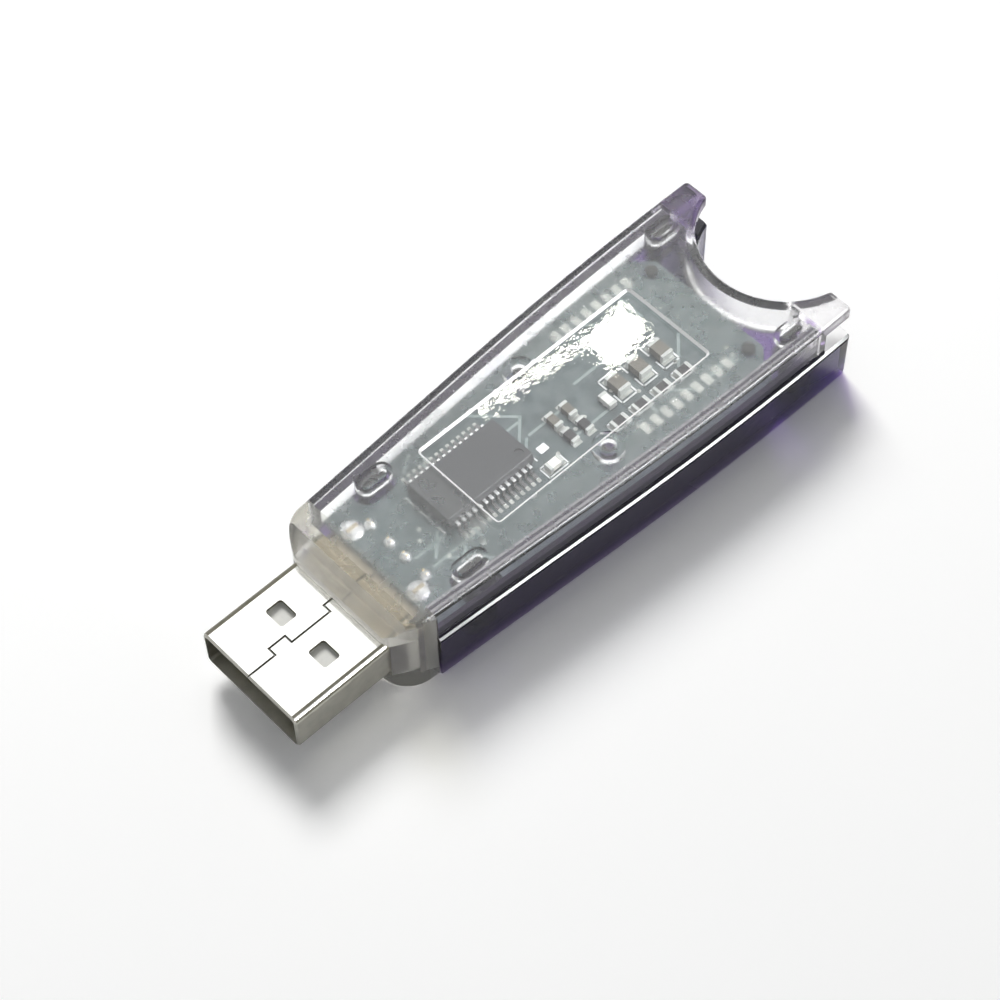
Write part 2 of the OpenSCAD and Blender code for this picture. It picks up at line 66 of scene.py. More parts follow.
def toward(azimuth, elevation):
    """The direction at an azimuth from +X and an elevation."""
    a, e = math.radians(azimuth), math.radians(elevation)
    return Vector((math.cos(a) * math.cos(e), math.sin(a) * math.cos(e), math.sin(e))).normalized()


def facing(direction, roll=0.0):
    """The turn of a camera or lamp that looks back along a direction."""
    turn = Matrix.Rotation(math.radians(roll), 3, "Z")
    return direction.to_track_quat("Z", "Y").to_matrix() @ turn


def add_camera():
    data = bpy.data.cameras.new("camera")
    data.lens = CAMERA_LENS
    data.sensor_width = 36
    data.clip_start = 0.01
    camera = bpy.data.objects.new("camera", data)
    bpy.context.scene.collection.objects.link(camera)
    direction = toward(CAMERA_AZIMUTH, CAMERA_ELEVATION)
    place = CAMERA_AIM + direction * CAMERA_DISTANCE
    camera.matrix_world = Matrix.LocRotScale(place, facing(direction, CAMERA_ROLL), None)
    bpy.context.scene.camera = camera


add_camera()
bpy.context.scene.view_settings.view_transform = "Standard"


# ---------------------------------------------------------------- places of the CAD nodes
# All places and sizes below are in mm, with X from the plug's mouth.
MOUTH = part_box("plug_shell")[0][0]


def span(node_name, axis):
    """Lowest and highest place of a CAD node along an axis."""
    lo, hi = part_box(node_name)
    start = MOUTH if axis == 0 else 0
    return (lo[axis] - start) / MM, (hi[axis] - start) / MM


def centre(node_name):
    """The middle of a CAD node, seen from above."""
    return sum(span(node_name, 0)) / 2, sum(span(node_name, 1)) / 2


def extent(node_name, axis):
    lo, hi = span(node_name, axis)
    return hi - lo


NOSE_X, TAIL_X = span("cover", 0)
TOP = span("cover", 2)[1]
TRAY_X = span("tray", 0)[0]
BOARD_END = span("circuit_board", 0)[1]
BOARD_Z, BOARD_TOP = span("circuit_board", 2)
CHIP_X, CHIP_Y = centre("controller_chip")
CHIP_Z, CHIP_TOP = span("controller_chip", 2)
PLUG_END = span("plug_shell", 0)[1]
PLUG_W = extent("plug_shell", 1)
PLUG_Z = (span("plug_shell", 2)[0] + BOARD_Z) / 2
LEG_X = centre("shell_leg_solder")[0]
PIN_X = centre("pin_solder")[0]

CONTACTS = ["power_contact", "data_minus_contact", "data_plus_contact", "ground_contact"]
CAPACITORS = ["input_capacitor", "output_capacitor", "filter_capacitor"]
SMALL_CAPACITORS = ["supply_capacitor", "bypass_capacitor"]
RESISTORS = ["transmit_resistor", "receive_resistor", "clock_resistor", "data_resistor"]
SMALL_RESISTORS = ["pull_up_resistor", "reset_resistor"]


# ---------------------------------------------------------------- sizes
# Outline of the housing, and its nose, notch and horns
NOSE_W, TAIL_W = 15.6, 20.65
TAPER_L, CURVE_L = 23.2, 26.2
NOSE_R, NOSE_WALL = 3.1, 2.6
SLOPE_L, SLOPE_H = 1.3, 2.3
NOTCH_R, NOTCH_DEPTH, NOTCH_SKIN = 7.9, 6.05, 0.85
HORN_SLOT, HORN_T, HORN_R, HORN_INNER_R = 3.3, 1.3, 0.45, 0.35
HORN_POST = 1.42
NOTCH_X = TAIL_X - NOTCH_DEPTH + NOTCH_R
SLOT_X = TAIL_X - HORN_SLOT

# Walls, and the split between the cover and the tray
SPLIT_Z = TOP - 3.95
SPLIT_GAP, NOSE_GAP, LIP_GAP = 0.03, 0.1, 0.1
LEDGE, WALL, SKIN = 0.25, 1.2, 0.55
FLOOR_T, COVER_T = 1.2, 0.85
UNDER = TOP - COVER_T
COVER_FOOT_R, COVER_TOP_R, TRAY_FOOT_R = 0.25, 0.5, 0.3
# SHADE_H is the height of the painted shade band on the tray's wall under the ledge's chamfer, and
# LEDGE_SHADE_H that of the painted shade strip standing on the near ledge
CHAMFER_H, SHADE_H, LEDGE_SHADE_H = 0.22, 0.3, 0.45

# The tray's lips: distances from the housing's side, and heights at which their painted shade
# changes. Between LIP_GREY and LIP_DARK the near lip's top gets painted shade, elsewhere painted
# light
LIP_OUT, LIP_GREY, LIP_DARK, LIP_IN = SKIN + LIP_GAP, 0.9, 1.2, 1.5
LIP_SHADE_Z, LIP_DIM_Z = SPLIT_Z + 1.1, SPLIT_Z + 1.9
LIP_TOP = UNDER - 0.03
LIP_EDGE = 0.08

# The cover's window
WINDOW_X, WINDOW_L, WINDOW_W, WINDOW_R = NOSE_X + 13.75, 25.8, 10.35, 0.45
WINDOW_DEEP, WINDOW_SLOPE = 0.2, 0.24

# Clips, bosses and locators: places, then lengths and widths, or radii
CLIPS = [(NOSE_X + 9.6, 6.04), (SLOT_X - 2.15, 8.025)]
BOSS_X, BOSS_Y = NOSE_X + 26.4, 5.6
LOCATOR_X, LOCATOR_Y = BOARD_END - 1.3, 6.1
SOCKET, SOCKET_HOLE, TONGUE, SOCKET_ROOM = (3.7, 1.9), (2.7, 0.9), (2.54, 0.74), (3.9, 2.1)
BOSS_R, BOSS_HOLE_R, BOSS_PIN_R = 1.5, 0.73, 0.65
LOCATOR_R, LOCATOR_PIN_R, LOCATOR_TOP = 1.15, 0.6, BOARD_TOP + 0.6
SOCKET_H, TIP_Z, TIP_R, PIN_TIP_R = 0.7, UNDER - 0.5, 0.15, 0.12
ROOT = 0.2  # how far a post reaches into what it stands on
ROOM_Z = 1.0  # where the cover's room starts, below the split

# The plug
PLUG_H, FOLD_R, SHEET, PLUG_GAP, MOUTH_BEVEL = 4.5, 0.65, 0.3, 0.1, 0.16
LATCH_X, LATCH_Y, LATCH_L, LATCH_W, LATCH_R = 6.0, 2.75, 1.8, 2.2, 0.3
SEAM_W, TAB_STEP, TABS = 0.2, 0.85, ((3.0, 4.8), (9.1, 10.9))
LEG_Y, LEG_L, LEG_RISE, LEG_BED_L = 4.2, 1.2, 0.5, 0.9
PLUG_TOP = PLUG_Z + PLUG_H / 2
TONGUE_T, TONGUE_BLOCK_X = 1.95, 10.9
RECESS_L, RECESS_W, RECESS_DEPTH = 2.0, 2.4, 0.28
GROOVE_GAP, GROOVE_UNDER, GROOVE_H = 0.02, 0.05, 0.22
PIN_Y = (-3.5, -1, 1, 3.5)

# The controller's leads, and the two rows of pads along the board's sides
LEAD_PITCH, LEADS_A_SIDE, LEAD_PAD_Y = 0.65, 14, 3.75
ROW_X, ROW_PITCH, ROW_PADS, ROW_Y = 41.0, 1.27, 9, (-5.75, 6.85)
INK_Z = (BOARD_TOP - 0.01, BOARD_TOP + 0.02)
TRACK_Z = (BOARD_TOP - 0.01, BOARD_TOP + 0.012)

# Outlines round the chip parts: length, width, line and gap. A bar at each end of the
# controller, and a plain patch: its X, its Y and its corners' radius
CAPACITOR_MARK = (1.8, 3.15, 0.17, 1.0)
RESISTOR_MARK, LIGHT_MARK = (2.05, 1.12, 0.15), (2.3, 1.3, 0.15)
CHIP_MARK_X, CHIP_MARK_L, CHIP_MARK_W = (20.9, 31.75), 5.0, 0.13
PATCH = (32.5, 33.5, -1.35, -0.55, 0.1)

# Pads: how far they reach to either side along Y, half their width, and their corners' radius.
# Vias and tracks: where they may be, as two X and two Y
LEAD_PAD, ROW_PAD = (0.55, 0.5, 0.18, 0.08), (0.62, 0.62, 0.38, 0.15)
VIA_AREA, VIA_R, VIA_CLEAR_X, VIA_CLEAR_Y = (17.5, 53, -6, 6.4), 0.2, 5.6, 4.4
TRACK_STARTS, TRACK_ENDS, TRACK_W = (17, 50, -6, 6.5), (16.5, 53.5, -6.2, 6.6), 0.28


# ---------------------------------------------------------------- outlines
SIDE_SLOPE = (TAIL_W - NOSE_W) / 2 / (TAPER_L + CURVE_L / 2)
SIDE_ANGLE = math.atan(SIDE_SLOPE)
CORNER_Y = NOSE_W / 2 + SIDE_SLOPE * NOSE_R - NOSE_R / math.cos(SIDE_ANGLE)


def side_y(t):
    """Half the housing's width at a distance t behind the nose."""
    if t < TAPER_L:
        return NOSE_W / 2 + SIDE_SLOPE * t
    rest = max(TAPER_L + CURVE_L - t, 0)
    return TAIL_W / 2 - SIDE_SLOPE * rest * rest / (2 * CURVE_L)


def side_points(corner_steps=12, curve_steps=18):
    """Points of the far side, from the nose's corner to the tail."""
    points = []
    for i in range(corner_steps + 1):
        a = math.pi - i * (math.pi / 2 - SIDE_ANGLE) / corner_steps
        points.append((NOSE_X + NOSE_R + NOSE_R * math.cos(a), CORNER_Y + NOSE_R * math.sin(a)))
    for i in range(curve_steps + 1):
        t = TAPER_L + i * CURVE_L / curve_steps
        points.append((NOSE_X + t, side_y(t)))
    points.append((TAIL_X, TAIL_W / 2))
    return points


def inset(points, d):
    """An anticlockwise outline moved inwards by d."""
    moved = []
    n = len(points)
    for i in range(n):
        p, q, s = Vector(points[i - 1]), Vector(points[i]), Vector(points[(i + 1) % n])
        e, f = (q - p).normalized(), (s - q).normalized()
        m, k = Vector((-e.y, e.x)), Vector((-f.y, f.x))
        moved.append(tuple(q + (m + k) * (d / (1 + m.dot(k)))))
    return moved


def rounded_corner(points, i, r, steps=5):
    """The points with the corner at i rounded to radius r."""
    p = Vector(points[i])
    a = (Vector(points[i - 1]) - p).normalized()
    b = (Vector(points[(i + 1) % len(points)]) - p).normalized()
    half = a.angle(b) / 2
    reach = r / math.tan(half)
    middle = p + (a + b).normalized() * (r / math.sin(half))
    start, end = p + a * reach - middle, p + b * reach - middle
    arc = []
    for k in range(steps + 1):
        d = start.lerp(end, k / steps).normalized() * r
        arc.append(tuple(middle + d))
    return points[:i] + arc + points[i + 1:]


def outline(notch=True, d=0.0, notch_steps=40):
    """The housing's outline from above, anticlockwise, moved inwards by d."""
    far = side_points()
    n = len(far)
    points = [(x, -y) for x, y in far]
    if notch:
        half = math.sqrt(NOTCH_R ** 2 - (NOTCH_X - TAIL_X) ** 2)
        a0 = math.atan2(half, TAIL_X - NOTCH_X)
        points.append((TAIL_X, -half))
        for i in range(1, notch_steps):
            a = 2 * math.pi - a0 - i * (2 * math.pi - 2 * a0) / notch_steps
            points.append((NOTCH_X + NOTCH_R * math.cos(a), NOTCH_R * math.sin(a)))
        points.append((TAIL_X, half))
    points += [(x, y) for x, y in reversed(far)]
    if d:
        points = inset(points, d)
    if notch:
        last = len(points) - n
        outer, inner = max(HORN_R - d, 0.03), max(HORN_INNER_R - d, 0.03)
        points = rounded_corner(points, last, outer)
        points = rounded_corner(points, last - 1, inner)
        points = rounded_corner(points, n, inner)
        points = rounded_corner(points, n - 1, outer)
    return points


def clean(points):
    """The points without repeats and without points on a straight line."""
    kept = []
    for p in points:
        if not kept or (Vector(p) - Vector(kept[-1])).length > 1e-4:
            kept.append(p)
    if (Vector(kept[0]) - Vector(kept[-1])).length < 1e-4:
        kept.pop()
    n = len(kept)
    out = []
    for i in range(n):
        a, b, c = Vector(kept[i - 1]), Vector(kept[i]), Vector(kept[(i + 1) % n])
        e, f = (b - a).normalized(), (c - b).normalized()
        if abs(e.x * f.y - e.y * f.x) > 1e-5:
            out.append(kept[i])
    return out


def within(points, x0, x1):
    """The points, with X kept between x0 and x1."""
    return clean([(max(min(x, x1), x0), y) for x, y in points])


def rectangle(x0, x1, y0, y1):
    return [(x0, y0), (x1, y0), (x1, y1), (x0, y1)]


def rounded_rectangle(x0, x1, y0, y1, r):
    points = rectangle(x0, x1, y0, y1)
    for i in (3, 2, 1, 0):
        points = rounded_corner(points, i, r, 4)
    return points


def disc(x, y, r, steps=40):
    angles = [2 * math.pi * i / steps for i in range(steps)]
    return [(x + r * math.cos(a), y + r * math.sin(a)) for a in angles]


def slot_outline(x, y, length, width, steps=12):
    """A slot with round ends, lying along X."""
    r = width / 2
    points = []
    for s, a0 in ((1, -math.pi / 2), (-1, math.pi / 2)):
        for i in range(steps + 1):
            a = a0 + math.pi * i / steps
            points.append((x + s * (length / 2 - r) + r * math.cos(a), y + r * math.sin(a)))
    return points


# ---------------------------------------------------------------- solids, as points and faces
def skin(rings):
    """A closed solid through rings of points."""
    n = len(rings[0])
    verts = [v for ring in rings for v in ring]
    faces = [tuple(reversed(range(n)))]
    for k in range(len(rings) - 1):
        for i in range(n):
            j = (i + 1) % n
            faces.append((k * n + i, k * n + j, (k + 1) * n + j, (k + 1) * n + i))
    last = (len(rings) - 1) * n
    faces.append(tuple(last + i for i in range(n)))
    return verts, faces


def profile(z0, z1, low=0, high=0, steps=4):
    """(inset, height) up the side of a plate, with its lower and upper edges rounded."""
    angles = [math.pi / 2 * k / steps for k in range(steps + 1)]
    levels = [(0, z0)]
    if low:
        levels = [(low * (1 - math.sin(a)), z0 + low * (1 - math.cos(a))) for a in angles]
    if high:
        return levels + [(high * (1 - math.cos(a)), z1 - high * (1 - math.sin(a))) for a in angles]
    return levels + [(0, z1)]


def plate(points, z0, z1, low=0, high=0, steps=4):
    """A plate from an outline, or from a function that gives the outline moved inwards."""
    rings = []
    for d, z in profile(z0, z1, low, high, steps):
        if callable(points):
            ring = points(d)
        else:
            ring = inset(points, d) if d > 1e-9 else points
        rings.append([(x, y, z) for x, y in ring])
    return skin(rings)


def block(x0, x1, y0, y1, z0, z1):
    return plate(rectangle(x0, x1, y0, y1), z0, z1)


def lengthwise(section, x0, x1):
    """A prism along X from an outline in (y, z)."""
    return skin([[(x, y, z) for y, z in section] for x in (x0, x1)])


def slab(x0, x1, z0, z1):
    """A block wider than the housing."""
    return lengthwise(rectangle(-TAIL_W, TAIL_W, z0, z1), x0, x1)


def bar(x0, y0, x1, y1, width, z):
    """A straight flat strip between two points, at the heights z."""
    d = Vector((x1 - x0, y1 - y0)).normalized() * width / 2
    n = Vector((-d.y, d.x))
    a, b = Vector((x0, y0)) - d, Vector((x1, y1)) + d
    return plate([tuple(a - n), tuple(b - n), tuple(b + n), tuple(a + n)], *z)


def merged(parts):
    verts, faces = [], []
    for v, f in parts:
        start = len(verts)
        verts += v
        faces += [tuple(start + i for i in face) for face in f]
    return verts, faces


# ---------------------------------------------------------------- objects
def make(name, verts, faces):
    """An object from points and faces."""
    mesh = bpy.data.meshes.new(name)
    mesh.from_pydata([(MOUTH + x * MM, y * MM, z * MM) for x, y, z in verts], [], faces)
    obj = bpy.data.objects.new(name, mesh)
    bpy.context.scene.collection.objects.link(obj)
    return obj


def outward(obj):
    """Turns the faces to look outwards."""
    bm = bmesh.new()
    bm.from_mesh(obj.data)
    bmesh.ops.recalc_face_normals(bm, faces=bm.faces)
    bm.to_mesh(obj.data)
    bm.free()
    return obj


def combine(obj, tool, operation):
    """Cuts a tool from obj or joins it to obj, and deletes the tool."""
    modifier = obj.modifiers.new("shape", "BOOLEAN")
    modifier.operation = operation
    modifier.solver = "EXACT"
    modifier.object = tool
    graph = bpy.context.evaluated_depsgraph_get()
    mesh = bpy.data.meshes.new_from_object(obj.evaluated_get(graph))
    obj.modifiers.clear()
    spent = (obj.data, tool.data)
    obj.data = mesh
    bpy.data.objects.remove(tool)
    for old in spent:
        bpy.data.meshes.remove(old)


def cut(obj, parts):
    for part in parts:
        combine(obj, outward(make("tool", *part)), "DIFFERENCE")


def join(obj, parts):
    for part in parts:
        combine(obj, outward(make("tool", *part)), "UNION")


def finish_mesh(obj, angle=32, weighted=True):
    """Merges stray points, and shades smoothly except over sharp edges."""
    bm = bmesh.new()
    bm.from_mesh(obj.data)
    bmesh.ops.remove_doubles(bm, verts=bm.verts, dist=1e-7)
    bmesh.ops.dissolve_degenerate(bm, dist=1e-7, edges=bm.edges)
    bmesh.ops.recalc_face_normals(bm, faces=bm.faces)
    for face in bm.faces:
        face.smooth = True
    for edge in bm.edges:
        edge.smooth = len(edge.link_faces) == 2 and edge.calc_face_angle(0) < math.radians(angle)
    bm.to_mesh(obj.data)
    bm.free()
    if weighted:
        modifier = obj.modifiers.new("normals", "WEIGHTED_NORMAL")
        modifier.keep_sharp = True


def dress(obj, *materials):
    obj.data.materials.clear()
    for material in materials:
        obj.data.materials.append(material)


def piece(obj, slot, *nodes):
    """Gives a piece its body, and hides the CAD nodes that it stands for. The slot is not used."""
    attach(obj, "root")
    if nodes:
        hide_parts(*nodes)


def flat_piece(name, parts, slot, material):
    """A piece made of flat strips or plates."""
    obj = make(name, *merged(parts))
    finish_mesh(obj, weighted=False)
    dress(obj, material)
    piece(obj, slot)


def paint(obj, materials, choose):
    """Gives each face the material that choose names from the face's middle and normal."""
    dress(obj, *materials)
    for face in obj.data.polygons:
        x, y, z = face.center
        chosen = choose((x - MOUTH) / MM, y / MM, z / MM, face.normal)
        face.material_index = materials.index(chosen)


# ---------------------------------------------------------------- shader nodes
def new_material(name):
    material = bpy.data.materials.new(name)
    material.use_nodes = True
    tree = material.node_tree
    tree.nodes.clear()
    return material, tree


def node(tree, kind, inputs=(), **values):
    made = tree.nodes.new(kind)
    for key, value in values.items():
        setattr(made, key, value)
    for key, value in dict(inputs).items():
        made.inputs[key].default_value = value
    return made


def maths(tree, operation, *terms):
    """A Math node's result from sockets and floats."""
    made = node(tree, "ShaderNodeMath", operation=operation)
    for socket, term in zip(made.inputs, terms):
        if isinstance(term, float):
            socket.default_value = term
        else:
            tree.links.new(term, socket)
    return made.outputs[0]


def axis_of(tree, output, axis):
    """One axis of a texture coordinate."""
    place = node(tree, "ShaderNodeTexCoord")
    split = node(tree, "ShaderNodeSeparateXYZ")
    tree.links.new(place.outputs[output], split.inputs[0])
    return split.outputs[axis]


def from_middle(tree, axis):
    """How far a point is from the middle of the object's box, from 0 to 0.5."""
    return maths(tree, "ABSOLUTE", maths(tree, "SUBTRACT", axis_of(tree, "Generated", axis), 0.5))


def direct_ray(tree):
    """1 for what is seen directly, in a mirror or through the plastic, and 0 for other rays."""
    path = node(tree, "ShaderNodeLightPath").outputs
    seen = maths(tree, "MAXIMUM", path["Is Camera Ray"], path["Is Glossy Ray"])
    return maths(tree, "MAXIMUM", seen, path["Is Transmission Ray"])


def noise(tree, scale, detail=2.0):
    """Noise whose scale is per mm."""
    place = node(tree, "ShaderNodeTexCoord")
    mapping = node(tree, "ShaderNodeMapping", {"Scale": (scale / MM,) * 3})
    tree.links.new(place.outputs["Object"], mapping.inputs["Vector"])
    made = node(tree, "ShaderNodeTexNoise", {"Scale": 1.0, "Detail": detail, "Roughness": 0.5})
    tree.links.new(mapping.outputs["Vector"], made.inputs["Vector"])
    return made.outputs["Fac"]


def ramp(tree, source, low, high, start=0.0, end=1.0):
    """Low to high as the source goes from start to end."""
    made = node(tree, "ShaderNodeMapRange",
                {"From Min": start, "From Max": end, "To Min": low, "To Max": high})
    tree.links.new(source, made.inputs["Value"])
    return made.outputs["Result"]


def spread(tree, source, low=0.0, high=1.0):
    """Noise, which keeps to the middle of its range, spread from low to high."""
    return ramp(tree, source, low, high, 0.3, 0.7)


def blend(tree, factor, a, b):
    """A colour between a and b, each a colour or a socket."""
    made = node(tree, "ShaderNodeMix", data_type="RGBA")
    tree.links.new(factor, made.inputs["Factor"])
    for socket, value in ((made.inputs[6], a), (made.inputs[7], b)):
        if isinstance(value, tuple):
            socket.default_value = (*value, 1)
        else:
            tree.links.new(value, socket)
    return made.outputs[2]


def mixed(tree, factor, a, b):
    """Shader a where the factor is 0 and b where it is 1."""
    both = node(tree, "ShaderNodeMixShader")
    tree.links.new(factor, both.inputs["Fac"])
    tree.links.new(a.outputs[0], both.inputs[1])
    tree.links.new(b.outputs[0], both.inputs[2])
    return both


def wired(tree, shader, **sources):
    """Links sockets to a shader's inputs, which are named with underscores for spaces."""
    for name, source in sources.items():
        tree.links.new(source, shader.inputs[name.replace("_", " ")])


def bump(tree, height, strength, distance):
    made = node(tree, "ShaderNodeBump", {"Strength": strength, "Distance": distance * MM})
    tree.links.new(height, made.inputs["Height"])
    return made.outputs["Normal"]


def ended(tree, shader, volume=None):
    out = node(tree, "ShaderNodeOutputMaterial")
    tree.links.new(shader.outputs[0], out.inputs["Surface"])
    if volume is not None:
        tree.links.new(volume.outputs[0], out.inputs["Volume"])


# ---------------------------------------------------------------- kinds of material
def clear_plastic(name, tint, rough, haze, grain, wave=0.4, absorb=None, density=0.0):
    """Transparent plastic: tinted, with haze and a fine grain. Lamps shine through it."""
    material, tree = new_material(name)
    shader = node(tree, "ShaderNodeBsdfPrincipled",
                  {"IOR": 1.5, "Transmission Weight": 1 - haze, "Base Color": (*tint, 1)})
    wired(tree, shader,
          Roughness=spread(tree, noise(tree, 0.9), rough * 0.7, rough * 1.3),
          Normal=bump(tree, noise(tree, wave, 3.0), grain, 0.06))
    passing = node(tree, "ShaderNodeBsdfTransparent", {"Color": (*tint, 1)})
    shadow_ray = node(tree, "ShaderNodeLightPath").outputs["Is Shadow Ray"]
    volume = None
    if absorb:
        volume = node(tree, "ShaderNodeVolumeAbsorption",
                      {"Color": (*absorb, 1), "Density": density})
    ended(tree, mixed(tree, shadow_ray, shader, passing), volume)
    return material


def solid_material(name, colour, other, metallic=0.0, rough=(0.5, 0.6), scale=1.0, grain=0.1,
                   depth=0.01, specular=0.5):
    """An opaque surface whose colour and roughness vary with noise."""
    material, tree = new_material(name)
    shader = node(tree, "ShaderNodeBsdfPrincipled",
                  {"Metallic": metallic, "Specular IOR Level": specular})
    pattern = noise(tree, scale, 4.0)
    wired(tree, shader,
          Base_Color=blend(tree, spread(tree, pattern), colour, other),
          Roughness=spread(tree, pattern, *rough),
          Normal=bump(tree, noise(tree, scale * 6, 3.0), grain, depth))
    ended(tree, shader)
    return material


def chip_part_material(name, body, other, axis, metal_share=0.19):
    """The body of a chip part, with tinned ends along one axis of its box."""
    material, tree = new_material(name)
    shader = node(tree, "ShaderNodeBsdfPrincipled", {"Specular IOR Level": 0.5})
    ends = maths(tree, "GREATER_THAN", from_middle(tree, axis), 0.5 - metal_share)
    speckle = blend(tree, spread(tree, noise(tree, 6.0, 4.0)), body, other)
    wired(tree, shader,
          Base_Color=blend(tree, ends, speckle, (0.5, 0.52, 0.5)),
          Metallic=ramp(tree, ends, 0.0, 0.5),
          Roughness=ramp(tree, ends, 0.5, 0.3))
    ended(tree, shader)
    return material


def plated_sheet():
    """Bright nickel on the plug, and painted shade where the shell is inside the housing: darker,
    less shiny and tan.
    """
    material, tree = new_material("nickel_plate")
    shader = node(tree, "ShaderNodeBsdfPrincipled")
    inside = ramp(tree, axis_of(tree, "Object", 0), 0, 1,
                  MOUTH + (NOSE_X + 0.1) * MM, MOUTH + (NOSE_X + 0.3) * MM)
    pattern = spread(tree, noise(tree, 0.5, 4.0))
    bright = blend(tree, pattern, (0.82, 0.82, 0.80), (0.88, 0.88, 0.86))
    # Painted shade: the shell inside the housing is darker, tan and less shiny
    dull = blend(tree, pattern, (0.36, 0.31, 0.22), (0.45, 0.39, 0.30))
    wired(tree, shader,
          Base_Color=blend(tree, inside, bright, dull),
          Metallic=ramp(tree, inside, 1.0, 0.25),
          Roughness=maths(tree, "MULTIPLY_ADD", inside, 0.35, ramp(tree, pattern, 0.16, 0.24)),
          Normal=bump(tree, noise(tree, 3.0, 3.0), 0.06, 0.01))
    ended(tree, shader)
    return material


def lead_metal():
    """Tin on the leads, with painted highlights at their heads and feet and a dark middle."""
    material, tree = new_material("lead_tin_painted_glints")
    shader = node(tree, "ShaderNodeBsdfPrincipled", {"Metallic": 0.9})
    # Painted highlights: bright tin only at the leads' heads and feet, dark between them
    end = ramp(tree, from_middle(tree, 2), 0, 1, 0.36, 0.44)
    wired(tree, shader,
          Base_Color=blend(tree, end, (0.2, 0.2, 0.2), (0.85, 0.86, 0.86)),
          Roughness=spread(tree, noise(tree, 2.5, 3.0), 0.25, 0.4))
    ended(tree, shader)
    return material


def studio_floor():
    """A pale floor, a little whiter where it is seen directly, in metal or through the plastic."""
    material, tree = new_material("studio_floor")
    shader = node(tree, "ShaderNodeBsdfPrincipled", {"Roughness": 0.8, "Specular IOR Level": 0.2})
    pattern = spread(tree, noise(tree, 0.02))
    plain = blend(tree, pattern, (0.95, 0.95, 0.96), (0.96, 0.96, 0.97))
    white = blend(tree, pattern, (1.085, 1.085, 1.09), (1.095, 1.095, 1.1))
    wired(tree, shader, Base_Color=blend(tree, direct_ray(tree), plain, white))
    ended(tree, shader)
    return material


# ---------------------------------------------------------------- materials
# The cover
satin_clear = clear_plastic("clear_satin", (0.96, 0.97, 0.965), 0.24, 0.02, 0.25)
polished_clear = clear_plastic("clear_polished", (0.985, 0.985, 0.99), 0.02, 0.0, 0.04)
window_clear = clear_plastic("clear_window", (0.985, 0.985, 0.99), 0.008, 0.0, 0.045, 1.2)
frosted_clear = clear_plastic("clear_frosted", (0.77, 0.76, 0.715), 0.2, 0.05, 0.22, 0.25)
# Painted shade: tinted copies of the clear cover for the horns' sides and round the notch, dark
# purple on the far horn and the notch, grey on the near horn
notch_painted_shade = clear_plastic("purple_notch_painted_shade", (0.10, 0.075, 0.14), 0.1, 0.6, 0.1)
far_horn_painted_shade = clear_plastic("purple_far_horn_painted_shade", (0.14, 0.09, 0.21), 0.1, 0.35, 0.1)
near_horn_painted_shade = clear_plastic("clear_near_horn_painted_shade", (0.80, 0.78, 0.80), 0.1, 0.12, 0.2)
# Painted highlight: a milky white for the window's sloping wall, so that it shows as a bright line
painted_highlight_window_rim = clear_plastic("clear_painted_highlight_rim", (0.98, 0.98, 0.98), 0.2, 0.85, 0.3)

# The tray
purple = clear_plastic("purple_clear", (0.93, 0.92, 0.96), 0.03, 0.0, 0.1,
                       absorb=(0.30, 0.05, 0.56), density=1400.0)
# Painted light: a much paler copy of the tray's purple, so that the lips read lighter than the
# tray
lip_purple_painted_light = clear_plastic("purple_lip", (0.96, 0.95, 0.97), 0.05, 0.0, 0.05,
                           absorb=(0.30, 0.12, 0.52), density=150.0)
# Painted shade: a near-black purple for strips and faces where the housing only lies in shade
painted_shade_purple = solid_material("painted_shade_purple", (0.008, 0.006, 0.014), (0.012, 0.009, 0.02),
                              specular=0.1)
# Painted shade: a dark purple for the lips' faces that lie in shade
lip_painted_shade = solid_material("purple_lip_painted_shade", (0.02, 0.015, 0.03), (0.03, 0.022, 0.042),
                          specular=0.1)
# Painted light: a mid grey for the lighter bands on the near lip's top, where highlights show
painted_light_grey = solid_material("painted_light_grey", (0.15, 0.145, 0.16), (0.24, 0.235, 0.25),
                          rough=(0.3, 0.4), scale=0.8)
# Painted highlight: a white for the bright lines along the near ledge, the horns' roots and the
# far lip's inner face
painted_highlight_white = solid_material("painted_highlight_white", (0.95, 0.95, 0.96), (0.98, 0.98, 0.98),
                           rough=(0.08, 0.14), grain=0.02)

# Metals
nickel = plated_sheet()
# Painted shade: a darker nickel for the mouth's inside, the plug's sides and its faces just inside
# the housing
painted_shade_nickel = solid_material("painted_shade_nickel", (0.40, 0.395, 0.35), (0.48, 0.47, 0.42), 1.0,
                             (0.28, 0.38), grain=0.15)
# Painted reflection: a dark nickel for bands on the plug's folds, where they mirror dark
# surroundings
painted_dark_band_nickel = solid_material("painted_dark_band_nickel", (0.13, 0.125, 0.09), (0.2, 0.19, 0.15), 0.5,
                             (0.4, 0.5))
# Darker bare steel for the cut edges of the seam and latch windows, partly real and partly painted
# shade
cut_edge_and_shade_steel = solid_material("cut_edge_and_shade_steel", (0.11, 0.1, 0.065), (0.17, 0.155, 0.1), 0.6,
                           (0.45, 0.6), 2.0, 0.2)
tin = solid_material("bright_tin", (0.82, 0.83, 0.84), (0.9, 0.9, 0.9), 1.0,
                     (0.22, 0.38), 2.5, 0.3, 0.02)
gold = solid_material("gold_contact", (0.83, 0.62, 0.25), (0.9, 0.72, 0.36), 1.0, (0.2, 0.3))
lead_tin_painted_glints = lead_metal()

